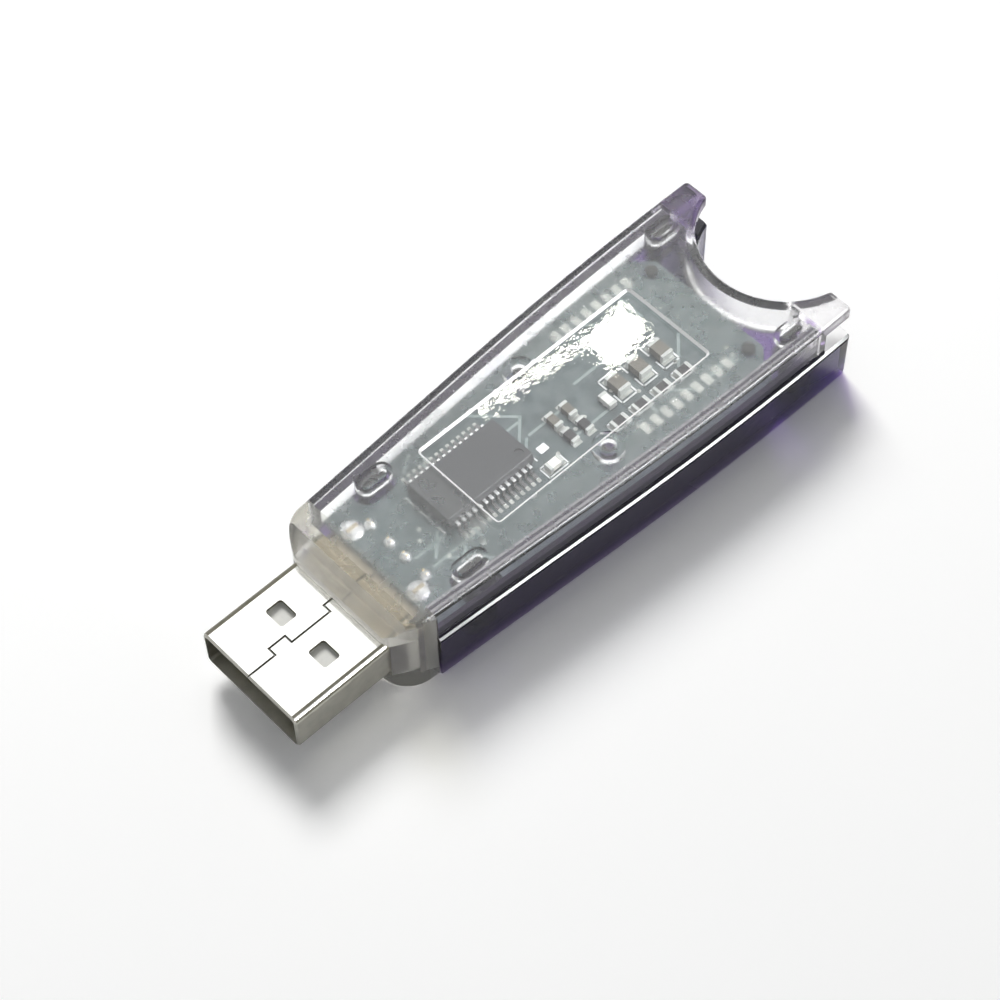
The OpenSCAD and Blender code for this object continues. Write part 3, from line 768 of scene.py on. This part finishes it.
# The board and what is on it
white_plastic = solid_material("white_moulding", (0.74, 0.74, 0.71), (0.8, 0.8, 0.77), 0.0,
                               (0.45, 0.6), 1.5, 0.2, 0.02)
epoxy = solid_material("black_epoxy", (0.042, 0.045, 0.047), (0.055, 0.058, 0.062), 0.0,
                       (0.5, 0.65), 4.0, 0.35, 0.02)
ink = solid_material("white_ink", (0.78, 0.8, 0.79), (0.62, 0.65, 0.65), 0.0,
                     (0.5, 0.7), 5.0, 0.2)
mask = solid_material("solder_mask", (0.042, 0.064, 0.068), (0.11, 0.135, 0.137), 0.0,
                      (0.32, 0.46), 0.7, 0.2, 0.02)
track = solid_material("masked_copper", (0.19, 0.24, 0.235), (0.25, 0.29, 0.285), 0.0,
                       (0.3, 0.45), 2.0, 0.15)
pad = solid_material("pad_tin", (0.34, 0.36, 0.34), (0.55, 0.56, 0.53), 0.3,
                     (0.4, 0.55), 1.2, 0.2)
BEIGE = (0.10, 0.095, 0.08), (0.15, 0.14, 0.115)
BLACK = (0.02, 0.02, 0.022), (0.03, 0.03, 0.032)
beige = chip_part_material("beige_ceramic", *BEIGE, 1, 0.16)
small_beige = chip_part_material("small_ceramic", *BEIGE, 1)
black_across = chip_part_material("black_film_across", *BLACK, 1)
black_along = chip_part_material("black_film_along", *BLACK, 0)
milky_along = chip_part_material("milky_resin_along", (0.72, 0.72, 0.66), (0.8, 0.8, 0.74), 0)
milky_across = chip_part_material("milky_resin_across", (0.62, 0.63, 0.6), (0.7, 0.7, 0.68), 1)


# ---------------------------------------------------------------- cover
def cover_material(x, y, z, normal):
    """The material of a face of the cover, with a painted highlight on the window's sloping wall
    and painted shade on the horns' sides and round the notch.
    """
    from_notch = math.hypot(x - NOTCH_X, y) - NOTCH_R
    over_window = WINDOW_X - 0.01 < x < WINDOW_X + WINDOW_L + 0.01 and abs(y) < WINDOW_W / 2 + 0.01
    if over_window and UNDER - 0.05 < z < TOP - 0.01:
        # Painted highlight: the window's sloping wall is milky white
        sloping = 0.3 < normal.z < 0.97 and z > TOP - WINDOW_DEEP
        return painted_highlight_window_rim if sloping else window_clear
    if x < TRAY_X + 0.05:
        return frosted_clear
    # Painted shade on the horns' sides: dark purple on the far horn and the notch wall, grey on
    # the near horn
    if x > SLOT_X and normal.z < 0.5:
        if y > 0:
            return far_horn_painted_shade
        on_notch = abs(from_notch) < 0.06 and abs(normal.z) < 0.5
        return notch_painted_shade if on_notch else near_horn_painted_shade
    # Painted shade: dark purple on the underside round the notch
    if z < SPLIT_Z + 0.1 and from_notch < NOTCH_SKIN + 0.1 and normal.z < -0.5:
        return notch_painted_shade
    return polished_clear if normal.z < 0.3 else satin_clear


def window_tool():
    """Cuts the window's recess, with a sloping wall all round."""
    edge = rounded_rectangle(WINDOW_X, WINDOW_X + WINDOW_L, -WINDOW_W / 2, WINDOW_W / 2, WINDOW_R)
    levels = ((WINDOW_SLOPE, TOP - WINDOW_DEEP), (0.0, TOP), (-OVER / 2, TOP + OVER / 2))
    return skin([[(x, y, z) for x, y in inset(edge, d)] for d, z in levels])


def slope_tool():
    """Cuts the slope along the nose's top edge."""
    rise = SLOPE_H / SLOPE_L * OVER
    section = [(NOSE_X - OVER, TOP - SLOPE_H - rise), (NOSE_X + SLOPE_L + OVER, TOP + rise),
               (NOSE_X - OVER, TOP + rise)]
    return skin([[(x, y, z) for x, z in section] for y in (NOSE_W, -NOSE_W)])


def cover():
    """The cover. Below the split it is only the nose, so its room may start anywhere there."""
    body = outward(make("clear_cover", *plate(lambda d: outline(d=d), 0, TOP,
                                              COVER_FOOT_R, COVER_TOP_R, 5)))
    cut(body, [slab(TRAY_X - NOSE_GAP, TAIL_X + 2 * OVER, -OVER, SPLIT_Z + SPLIT_GAP),
               slab(SLOT_X, TAIL_X + 2 * OVER, ROOM_Z, TOP - HORN_T)])
    hollow = within(inset(outline(notch=False), SKIN), TRAY_X - NOSE_GAP, SLOT_X - SKIN)
    room = outward(make("room", *plate(hollow, ROOM_Z, UNDER)))
    cut(room, [plate(disc(NOTCH_X, 0, NOTCH_R + NOTCH_SKIN, 96), 0, TOP)])
    combine(body, room, "DIFFERENCE")
    nose = within(inset(outline(notch=False), WALL), NOSE_X + NOSE_WALL, TRAY_X)
    half_w, half_h = PLUG_W / 2 + PLUG_GAP, PLUG_H / 2 + PLUG_GAP
    plug_hole = rectangle(-half_w, half_w, PLUG_Z - half_h, PLUG_Z + half_h)
    cut(body, [plate(nose, FLOOR_T, UNDER), lengthwise(plug_hole, NOSE_X - OVER, TRAY_X + OVER),
               slope_tool(), window_tool()])
    low = UNDER - SOCKET_H
    posts, holes = [], []
    for s in SIDES:
        for x, y in CLIPS:
            posts.append(plate(slot_outline(x, s * y, *SOCKET), low, UNDER + ROOT))
            holes.append(plate(slot_outline(x, s * y, *SOCKET_HOLE), low - OVER, UNDER))
        posts.append(plate(disc(BOSS_X, s * BOSS_Y, BOSS_R), low, UNDER + ROOT))
        holes.append(plate(disc(BOSS_X, s * BOSS_Y, BOSS_HOLE_R, 24), low - OVER, UNDER))
    join(body, posts)
    cut(body, holes)
    finish_mesh(body)
    paint(body, [satin_clear, polished_clear, frosted_clear, painted_highlight_window_rim, window_clear,
                 notch_painted_shade, far_horn_painted_shade, near_horn_painted_shade], cover_material)
    piece(body, "clear_plastic", "cover")


cover()


# ---------------------------------------------------------------- tray
def tray_material(x, y, z, normal):
    """The material of a face of the tray: its ledge has a strip of painted shade and, on the near
    side, a painted highlight along its edge.
    """
    beyond = abs(y) - side_y(x - NOSE_X)
    if beyond >= 0.02 and SPLIT_Z - CHAMFER_H - SHADE_H < z < SPLIT_Z:
        # Painted shade on the wall just below the ledge's chamfer
        if abs(normal.z) < 0.1 and beyond > LEDGE - 0.1 and z < SPLIT_Z - CHAMFER_H:
            return painted_shade_purple
        # Painted highlight on the near ledge's chamfer
        if y < 0 and 0.2 < normal.z < 0.98:
            return painted_highlight_white
    return purple


def tray():
    # The ring below the chamfer bounds the painted shade band
    levels = profile(0, SPLIT_Z - CHAMFER_H - SHADE_H, TRAY_FOOT_R)
    levels += [(0, SPLIT_Z - CHAMFER_H), (LEDGE, SPLIT_Z)]
    rings = [[(x, y, z) for x, y in outline(d=d - LEDGE)] for d, z in levels]
    body = outward(make("purple_tray", *skin(rings)))
    cut(body, [slab(NOSE_X - OVER, TRAY_X, -OVER, TOP + OVER),
               slab(TAIL_X, TAIL_X + OVER, -OVER, TOP + OVER)])
    hollow = within(inset(outline(notch=False), WALL), TRAY_X - OVER, SLOT_X - WALL)
    room = outward(make("room", *plate(hollow, FLOOR_T, TOP)))
    cut(room, [plate(disc(NOTCH_X, 0, NOTCH_R + WALL, 96), 0, TOP + OVER)])
    combine(body, room, "DIFFERENCE")
    x0, x1 = SLOT_X + SPLIT_GAP, TAIL_X - 0.06
    far_post = [(x, side_y(x - NOSE_X) - d)
                for x, d in ((x0, HORN_POST), (x1, HORN_POST), (x1, 0.02), (x0, 0.02))]
    join(body, [plate(far_post, SPLIT_Z - 0.3, TOP - HORN_T - 0.04, 0, 0.08, 2)])
    low = FLOOR_T - ROOT
    posts = []
    for s in SIDES:
        for x, y in CLIPS:
            posts.append(plate(slot_outline(x, s * y, *SOCKET), low, BOARD_Z - 0.08))
            posts.append(plate(slot_outline(x, s * y, *TONGUE), low, TIP_Z, 0, TIP_R))
        boss, locator = (BOSS_X, s * BOSS_Y), (LOCATOR_X, s * LOCATOR_Y)
        posts.append(plate(disc(*boss, BOSS_R), low, BOARD_Z - SPLIT_GAP))
        posts.append(plate(disc(*boss, BOSS_PIN_R, 24), low, TIP_Z, 0, PIN_TIP_R))
        posts.append(plate(disc(*locator, LOCATOR_R, 32), low, BOARD_Z - SPLIT_GAP))
        posts.append(plate(disc(*locator, LOCATOR_PIN_R, 24), low, LOCATOR_TOP, 0, PIN_TIP_R))
    posts.append(block(LEG_X - LEG_BED_L / 2, LEG_X + LEG_BED_L / 2, -LEG_Y, LEG_Y,
                       low, PLUG_Z - PLUG_H / 2))
    join(body, posts)
    finish_mesh(body)
    paint(body, [purple, painted_shade_purple, painted_highlight_white], tray_material)
    piece(body, "purple_plastic", "tray")


def lip_material(x, y, z, normal):
    """The material of a face of the lips, with painted shade, painted light and a painted
    highlight on their faces.
    """
    away = side_y(x - NOSE_X) - abs(y)
    on_near = y < 0
    # Painted light and painted shade on the lips' tops: grey on the near lip except a dark strip,
    # dark on the far lip
    if z > LIP_TOP - 0.01 and normal.z > 0.9:
        return painted_light_grey if on_near and not LIP_GREY <= away < LIP_DARK else lip_painted_shade
    outer = away < LIP_OUT + 0.05
    # Painted shade on the lower outer faces and on the undersides
    if outer and z < LIP_SHADE_Z or normal.z < -0.9:
        return painted_shade_purple
    # Less dark painted shade higher up the outer faces and on the far lip's outer edge
    if outer and z < LIP_DIM_Z or not on_near and away < LIP_OUT + LIP_EDGE + 0.01:
        return lip_painted_shade
    # Painted highlight on the far lip's inner face
    if not on_near and away > LIP_IN - 0.02 and abs(normal.z) < 0.3:
        return painted_highlight_white
    return lip_purple_painted_light


def tray_lip(steps=24):
    """The tray's two long lips, which stand inside the cover's walls."""
    start, end = TRAY_X - NOSE_X, SLOT_X - SKIN - LIP_GAP - NOSE_X
    foot_z, step_z = SPLIT_Z + 0.005, BOARD_TOP + SPLIT_GAP
    # Corners of the section also mark where the lips' painted shade and painted light change
    section = [(LIP_OUT, foot_z), (LIP_OUT, LIP_SHADE_Z), (LIP_OUT, LIP_DIM_Z),
               (LIP_OUT, LIP_TOP - LIP_EDGE), (LIP_OUT + LIP_EDGE, LIP_TOP), (LIP_GREY, LIP_TOP),
               (LIP_DARK, LIP_TOP), (LIP_IN - 0.05, LIP_TOP), (LIP_IN, LIP_TOP - 0.05),
               (LIP_IN, step_z), (WALL, step_z), (WALL, foot_z)]
    parts = []
    for s in SIDES:
        stations = [start + (end - start) * i / steps for i in range(steps + 1)]
        parts.append(skin([[(NOSE_X + t, s * (side_y(t) - d), z) for d, z in section]
                           for t in stations]))
    body = outward(make("tray_lip", *merged(parts)))
    cut(body, [plate(slot_outline(x, s * y, *SOCKET_ROOM), 0, TOP)
               for x, y in CLIPS for s in SIDES])
    finish_mesh(body)
    paint(body, [lip_purple_painted_light, painted_highlight_white, painted_shade_purple, lip_painted_shade, painted_light_grey], lip_material)
    piece(body, "purple_plastic")


def side(d):
    """The housing's side moved outwards by d, as a function of X."""
    return lambda x: side_y(x - NOSE_X) + d


def notch_edge(d=0.0):
    """The edge of the notch moved outwards by d, as a function of X."""
    return lambda x: math.sqrt(NOTCH_R ** 2 - (NOTCH_X - x) ** 2) - LEDGE + 0.12 + d


def strip(inner, outer, x0, x1, s, steps=30, z=(SPLIT_Z - 0.01, SPLIT_Z + 0.02)):
    """A flat strip between two lines on side s of the housing, at the heights z."""
    xs = [x0 + (x1 - x0) * i / steps for i in range(steps + 1)]
    ring = [(x, s * inner(x)) for x in xs] + [(x, s * outer(x)) for x in reversed(xs)]
    return plate(ring[::s], *z)


def rim():
    """The painted highlight on the near ledge, the near horn's shelf and the horns' roots, and the
    painted shade under the walls, on the near ledge and under the near horn.
    """
    front, slot, tail = TRAY_X + 0.05, SLOT_X - SKIN - 0.02, TAIL_X - 0.03
    # Painted highlight: white strips on the near ledge, the near horn's shelf and both horns'
    # roots
    bright = [strip(side(-0.08), side(-0.01), front, SLOT_X, -1),
              strip(notch_edge(), side(-0.01), SLOT_X + 0.02, tail, -1, 8)]
    for s in SIDES:
        bright.append(strip(notch_edge(), side(-SKIN), SLOT_X - SKIN, SLOT_X - 0.02, s, 2))
    # Painted shade: dark strips under both walls, standing on the near ledge, and under the near
    # horn's slab along the notch
    dark = [strip(side(-SKIN), side(-0.1), front, slot, -1),
            strip(side(-SKIN), side(0.0), front, slot, 1),
            strip(side(0.02), side(0.08), front, SLOT_X, -1,
                  z=(SPLIT_Z - 0.01, SPLIT_Z + LEDGE_SHADE_H)),
            strip(notch_edge(0.1), notch_edge(0.8), SLOT_X + 0.3, tail, -1, 8,
                  (TOP - HORN_T - 0.08, TOP - HORN_T - 0.03))]
    flat_piece("tray_painted_highlight_strips", bright, "purple_plastic", painted_highlight_white)
    flat_piece("tray_painted_shade_strips", dark, "purple_plastic", painted_shade_purple)


tray()
tray_lip()
rim()


# ---------------------------------------------------------------- plug
def plug_section(less, steps=8):
    """The plug's outline across the stick, in (y, z), moved inwards by less."""
    r = FOLD_R - less
    points = []
    for k, (sy, sz) in enumerate(((1, -1), (1, 1), (-1, 1), (-1, -1))):
        cy, cz = sy * (PLUG_W / 2 - FOLD_R), PLUG_Z + sz * (PLUG_H / 2 - FOLD_R)
        for i in range(steps + 1):
            a = math.radians(-90 + 90 * k + 90 * i / steps)
            points.append((cy + r * math.cos(a), cz + r * math.sin(a)))
    return points


def seam_cuts():
    """The cuts of the seam along the top, with its two tabs."""
    path = [(-OVER / 2, 0)]
    for start, end in TABS:
        path += [(start, 0), (start, TAB_STEP), (end, TAB_STEP), (end, 0)]
    path.append((PLUG_END + OVER / 2, 0))
    half = SEAM_W / 2
    return [block(min(x0, x1) - half, max(x0, x1) + half, min(y0, y1) - half, max(y0, y1) + half,
                  PLUG_TOP - SHEET - 0.05, PLUG_TOP + OVER)
            for (x0, y0), (x1, y1) in zip(path, path[1:])]


def plug_material(x, y, z, normal):
    """The material of a face of the shell: its folds get painted dark reflections, its sides and
    mouth painted shade, and its cut edges darker bare steel with painted shade.
    """
    tilt = math.degrees(math.acos(max(min(normal.z, 1), -1)))
    upright = abs(normal.z) < 0.5
    in_cut = PLUG_TOP - SHEET < z < PLUG_TOP and abs(y) < PLUG_W / 2 - 0.7 and upright
    in_mouth = (abs(y) < PLUG_W / 2 - SHEET + 0.01
                and abs(z - PLUG_Z) < PLUG_H / 2 - SHEET + 0.01)
    # Darker bare steel on the cut walls of the seam and windows, partly painted shade
    if in_cut and 0.2 < x < PLUG_END - 0.2:
        return cut_edge_and_shade_steel
    # Painted shade inside the mouth and on the shell's front edge
    if in_mouth and x < NOSE_X or abs(normal.x) > 0.3 and x < 0.3:
        return painted_shade_nickel
    if x < NOSE_X:
        # Painted reflection: dark bands on the upper folds, most of the far fold and two bands of
        # the near one
        folded = 2 < tilt < (80 if y > 0 else 24) or 46 < tilt < 68 and z > PLUG_Z
        if folded:
            return painted_dark_band_nickel
        # Painted shade on the sides and the lower folds
        if tilt > 46 and z > 2.5:
            return painted_shade_nickel
    # Painted shade on the upright faces just inside the housing
    return painted_shade_nickel if upright and x < NOSE_X + 0.5 else nickel


def plug_shell():
    rings = [[(x, y, z) for y, z in plug_section(less)]
             for x, less in ((0, MOUTH_BEVEL), (MOUTH_BEVEL, 0), (PLUG_END, 0))]
    body = outward(make("plug_folded_shell", *skin(rings)))
    cuts = [lengthwise(plug_section(SHEET), -OVER, PLUG_END + OVER)]
    for s in SIDES:
        window = rounded_rectangle(LATCH_X - LATCH_L / 2, LATCH_X + LATCH_L / 2,
                                   s * LATCH_Y - LATCH_W / 2, s * LATCH_Y + LATCH_W / 2, LATCH_R)
        cuts.append(plate(window, -OVER, PLUG_TOP + OVER))
    cut(body, cuts + seam_cuts())
    join(body, [block(LEG_X - LEG_L / 2, LEG_X + LEG_L / 2,
                      s * LEG_Y - SHEET / 2, s * LEG_Y + SHEET / 2,
                      PLUG_TOP - SHEET, BOARD_TOP + LEG_RISE) for s in SIDES])
    finish_mesh(body)
    paint(body, [nickel, cut_edge_and_shade_steel, painted_shade_nickel, painted_dark_band_nickel], plug_material)
    piece(body, "plug_metal", "plug_shell")


def plug_tongue():
    """The insulator, with a recess under each latch window and a groove for each contact."""
    start, end = span("plug_insulator", 0)
    half = span("plug_insulator", 1)[1]
    low, top = span("plug_insulator", 2)
    body = outward(make("plug_tongue", *block(start, end, -half, half, top - TONGUE_T, top)))
    join(body, [block(TONGUE_BLOCK_X, end - 0.001, -half + 0.001, half - 0.001, low, top - 1)])
    cuts = [block(LATCH_X - RECESS_L / 2, LATCH_X + RECESS_L / 2,
                  s * LATCH_Y - RECESS_W / 2, s * LATCH_Y + RECESS_W / 2,
                  top - RECESS_DEPTH, top + OVER) for s in SIDES]
    for name in CONTACTS:
        (x0, x1), (y0, y1) = span(name, 0), span(name, 1)
        z0 = span(name, 2)[0]
        cuts.append(block(x0 - GROOVE_GAP, x1 + OVER, y0 - GROOVE_GAP, y1 + GROOVE_GAP,
                          z0 - GROOVE_UNDER, z0 + GROOVE_H))
    cut(body, cuts)
    finish_mesh(body)
    dress(body, white_plastic)
    piece(body, "white_plastic", "plug_insulator")


plug_shell()
plug_tongue()


# ---------------------------------------------------------------- controller
def controller(corner_r=0.12, dimple_in=0.98, dimple_r=0.45):
    """The controller's body, with drafted sides and a dimple at its first lead."""
    (x0, x1), (y0, y1) = span("controller_chip", 0), span("controller_chip", 1)
    rings = []
    for d, z in ((0.14, CHIP_Z), (0.0, (CHIP_Z + CHIP_TOP) / 2),
                 (0.11, CHIP_TOP - 0.06), (0.17, CHIP_TOP)):
        ring = rounded_rectangle(x0 + d, x1 - d, y0 + d, y1 - d, corner_r)
        rings.append([(x, y, z) for x, y in ring])
    body = outward(make("controller_body", *skin(rings)))
    dimple = disc(x1 - dimple_in, y0 + dimple_in, dimple_r, 28)
    cut(body, [plate(dimple, CHIP_TOP - 0.12, CHIP_TOP + OVER / 2)])
    finish_mesh(body)
    dress(body, epoxy)
    piece(body, "chip_plastic", "controller_chip")


controller()


# ---------------------------------------------------------------- marks on the board
def frame_marks(x, y, length, width, thick, gap=0.0):
    """A rectangle drawn on the board, with a gap in the middle of its two sides along Y."""
    hx, hy = length / 2, width / 2
    bars = [bar(x - hx, y + s * hy, x + hx, y + s * hy, thick, INK_Z) for s in SIDES]
    stretches = [(-hy, -gap / 2), (gap / 2, hy)] if gap else [(-hy, hy)]
    for s in SIDES:
        for low, high in stretches:
            bars.append(bar(x + s * hx, y + low, x + s * hx, y + high, thick, INK_Z))
    return bars


def silkscreen():
    """Plain outlines round the chip parts."""
    parts = []
    for name in CAPACITORS:
        parts += frame_marks(*centre(name), *CAPACITOR_MARK)
    for name in RESISTORS:
        parts += frame_marks(*centre(name), *RESISTOR_MARK)
    parts += frame_marks(*centre("power_light"), *LIGHT_MARK)
    parts.append(plate(rounded_rectangle(*PATCH), *INK_Z))
    for x in CHIP_MARK_X:
        parts.append(bar(x, CHIP_Y - CHIP_MARK_L / 2, x, CHIP_Y + CHIP_MARK_L / 2,
                         CHIP_MARK_W, INK_Z))
    flat_piece("silkscreen_marks", parts, "board", ink)


def end_pads(name, axis, reach, under=0.25, margin=0.06):
    """Two pads under a chip part, which reach past its ends along an axis."""
    middle = centre(name)[1 - axis]
    half = extent(name, 1 - axis) / 2 + margin
    made = []
    for edge, s in zip(span(name, axis), SIDES):
        ends = sorted((edge + s * reach, edge - s * under))
        sides = (middle - half, middle + half)
        x, y = (ends, sides) if axis == 0 else (sides, ends)
        made.append(plate(rectangle(*x, *y), *INK_Z))
    return made


def round_pad(x, y, before, after, half, r):
    return plate(rounded_rectangle(x - half, x + half, y - before, y + after, r), *INK_Z)


def anywhere(x0, x1, y0, y1):
    return random.uniform(x0, x1), random.uniform(y0, y1)


def pads(vias=26):
    """Pads of the parts and of the two rows, and vias at random places clear of the controller."""
    parts = []
    for name in CAPACITORS + SMALL_CAPACITORS + SMALL_RESISTORS:
        parts += end_pads(name, 1, 0.3)
    for name in RESISTORS + ["power_light"]:
        parts += end_pads(name, 0, 0.22)
    for s in SIDES:
        for i in range(LEADS_A_SIDE):
            x = CHIP_X + (i - (LEADS_A_SIDE - 1) / 2) * LEAD_PITCH
            parts.append(round_pad(x, CHIP_Y + s * LEAD_PAD_Y, *LEAD_PAD))
    for i in range(ROW_PADS):
        for y in ROW_Y:
            if i > 0 or y < 0:
                parts.append(round_pad(ROW_X + i * ROW_PITCH, y, *ROW_PAD))
    random.seed(7)
    for _ in range(vias):
        x, y = anywhere(*VIA_AREA)
        if abs(x - CHIP_X) >= VIA_CLEAR_X or abs(y - CHIP_Y) >= VIA_CLEAR_Y:
            parts.append(plate(disc(x, y, VIA_R, 14), *INK_Z))
    flat_piece("board_pads", parts, "solder", pad)


def tracks(count=42):
    """Copper under the solder mask, at random places."""
    parts = []
    x_min, x_max, y_min, y_max = TRACK_ENDS
    random.seed(21)
    for _ in range(count):
        x, y = anywhere(*TRACK_STARTS)
        length = random.uniform(1.5, 5)
        heading = random.choice((0, 0, math.pi / 2, math.pi / 4, -math.pi / 4))
        x1 = max(min(x + length * math.cos(heading), x_max), x_min)
        y1 = max(min(y + length * math.sin(heading), y_max), y_min)
        if abs(x1 - x) + abs(y1 - y) >= 0.5:
            parts.append(bar(x, y, x1, y1, TRACK_W, TRACK_Z))
    flat_piece("board_tracks", parts, "board", track)


silkscreen()
pads()
tracks()


# ---------------------------------------------------------------- solder
def drop(x, y, r, height, steps=20, rings=6, top=0.92, hollow=1.3):
    """A drop of solder round a lead: a dome with its top cut off and its sides drawn in."""
    levels = []
    for k in range(rings):
        a = math.pi / 2 * k / (rings - 1) * top
        z = BOARD_TOP - 0.01 + height * math.sin(a)
        levels.append([(px, py, z) for px, py in disc(x, y, r * (math.cos(a) ** hollow), steps)])
    return skin(levels)


def solder(name, node_name, places, r, height):
    obj = make(name, *merged([drop(x, y, r, height) for x, y in places]))
    finish_mesh(obj, angle=60, weighted=False)
    dress(obj, tin)
    piece(obj, "solder", node_name)


solder("leg_solder_drops", "shell_leg_solder", [(LEG_X, s * LEG_Y) for s in SIDES], 1.05, 0.4)
solder("pin_solder_drops", "pin_solder", [(PIN_X, y) for y in PIN_Y], 0.56, 0.68)


# ---------------------------------------------------------------- CAD nodes that stay
DRESSED = [
    (["circuit_board"], mask),
    (CONTACTS, gold),
    (["controller_leads"], lead_tin_painted_glints),
    (CAPACITORS, beige),
    (SMALL_CAPACITORS, small_beige),
    (RESISTORS, black_along),
    (SMALL_RESISTORS, black_across),
    (["power_light"], milky_along),
    (["activity_light"], milky_across),
]
for names, material in DRESSED:
    for name in names:
        dress(frame["nodes"][name], material)


# ---------------------------------------------------------------- studio
FLOOR_HALF = 3.0
LAMP_DISTANCE = 0.75
AMBIENT = 0.25
WARM, GLARE = (1.0, 0.995, 0.975), (1.0, 0.99, 0.88)


def floor():
    mesh = bpy.data.meshes.new("floor")
    corners = rectangle(-FLOOR_HALF, FLOOR_HALF, -FLOOR_HALF, FLOOR_HALF)
    mesh.from_pydata([(x, y, 0) for x, y in corners], [], [(0, 1, 2, 3)])
    mesh.materials.append(studio_floor())
    obj = bpy.data.objects.new("floor", mesh)
    bpy.context.scene.collection.objects.link(obj)


def world():
    """A white surround, which fades upwards, for direct rays and a dim one for other rays."""
    sky = bpy.data.worlds.new("studio")
    bpy.context.scene.world = sky
    sky.use_nodes = True
    tree = sky.node_tree
    tree.nodes.clear()
    seen = node(tree, "ShaderNodeBackground", {"Color": (1, 1, 1, 1)})
    wired(tree, seen, Strength=ramp(tree, axis_of(tree, "Generated", 2), 1.0, 0.45, 0.0, 0.9))
    ambient = node(tree, "ShaderNodeBackground",
                   {"Color": (0.97, 0.985, 1, 1), "Strength": AMBIENT})
    out = node(tree, "ShaderNodeOutputWorld")
    tree.links.new(mixed(tree, direct_ray(tree), ambient, seen).outputs[0], out.inputs["Surface"])


def lamp(name, direction, size, radiance, colour=(1, 1, 1), roll=0.0, only=None):
    """A rectangular lamp that faces the stick, seen by all rays or by only one kind of them."""
    width, height = size
    data = bpy.data.lights.new(name, "AREA")
    data.shape = "RECTANGLE"
    data.size = width
    data.size_y = height
    data.energy = radiance * math.pi * width * height
    data.color = colour
    obj = bpy.data.objects.new(name, data)
    obj.location = direction * LAMP_DISTANCE
    obj.rotation_euler = facing(direction, roll).to_euler()
    bpy.context.scene.collection.objects.link(obj)
    if only:
        obj.visible_diffuse = only == "diffuse"
        obj.visible_glossy = only == "glossy"
        obj.visible_transmission = False


floor()
world()
lamp("key_lamp", toward(64, 43), (0.27, 0.27), 21.0, WARM, only="diffuse")
lamp("softbox", toward(48, 62), (0.5, 0.4), 1.15)
lamp("glare_lamp", toward(42.6, 52.6), (0.020, 0.015), 42.0, GLARE, 49, only="glossy")
lamp("streak_lamp", toward(46.4, 53.7), (0.050, 0.003), 42.0, GLARE, 32, only="glossy")
lamp("edge_lamp", toward(-61, 35), (0.3, 0.25), 26.0, only="glossy")
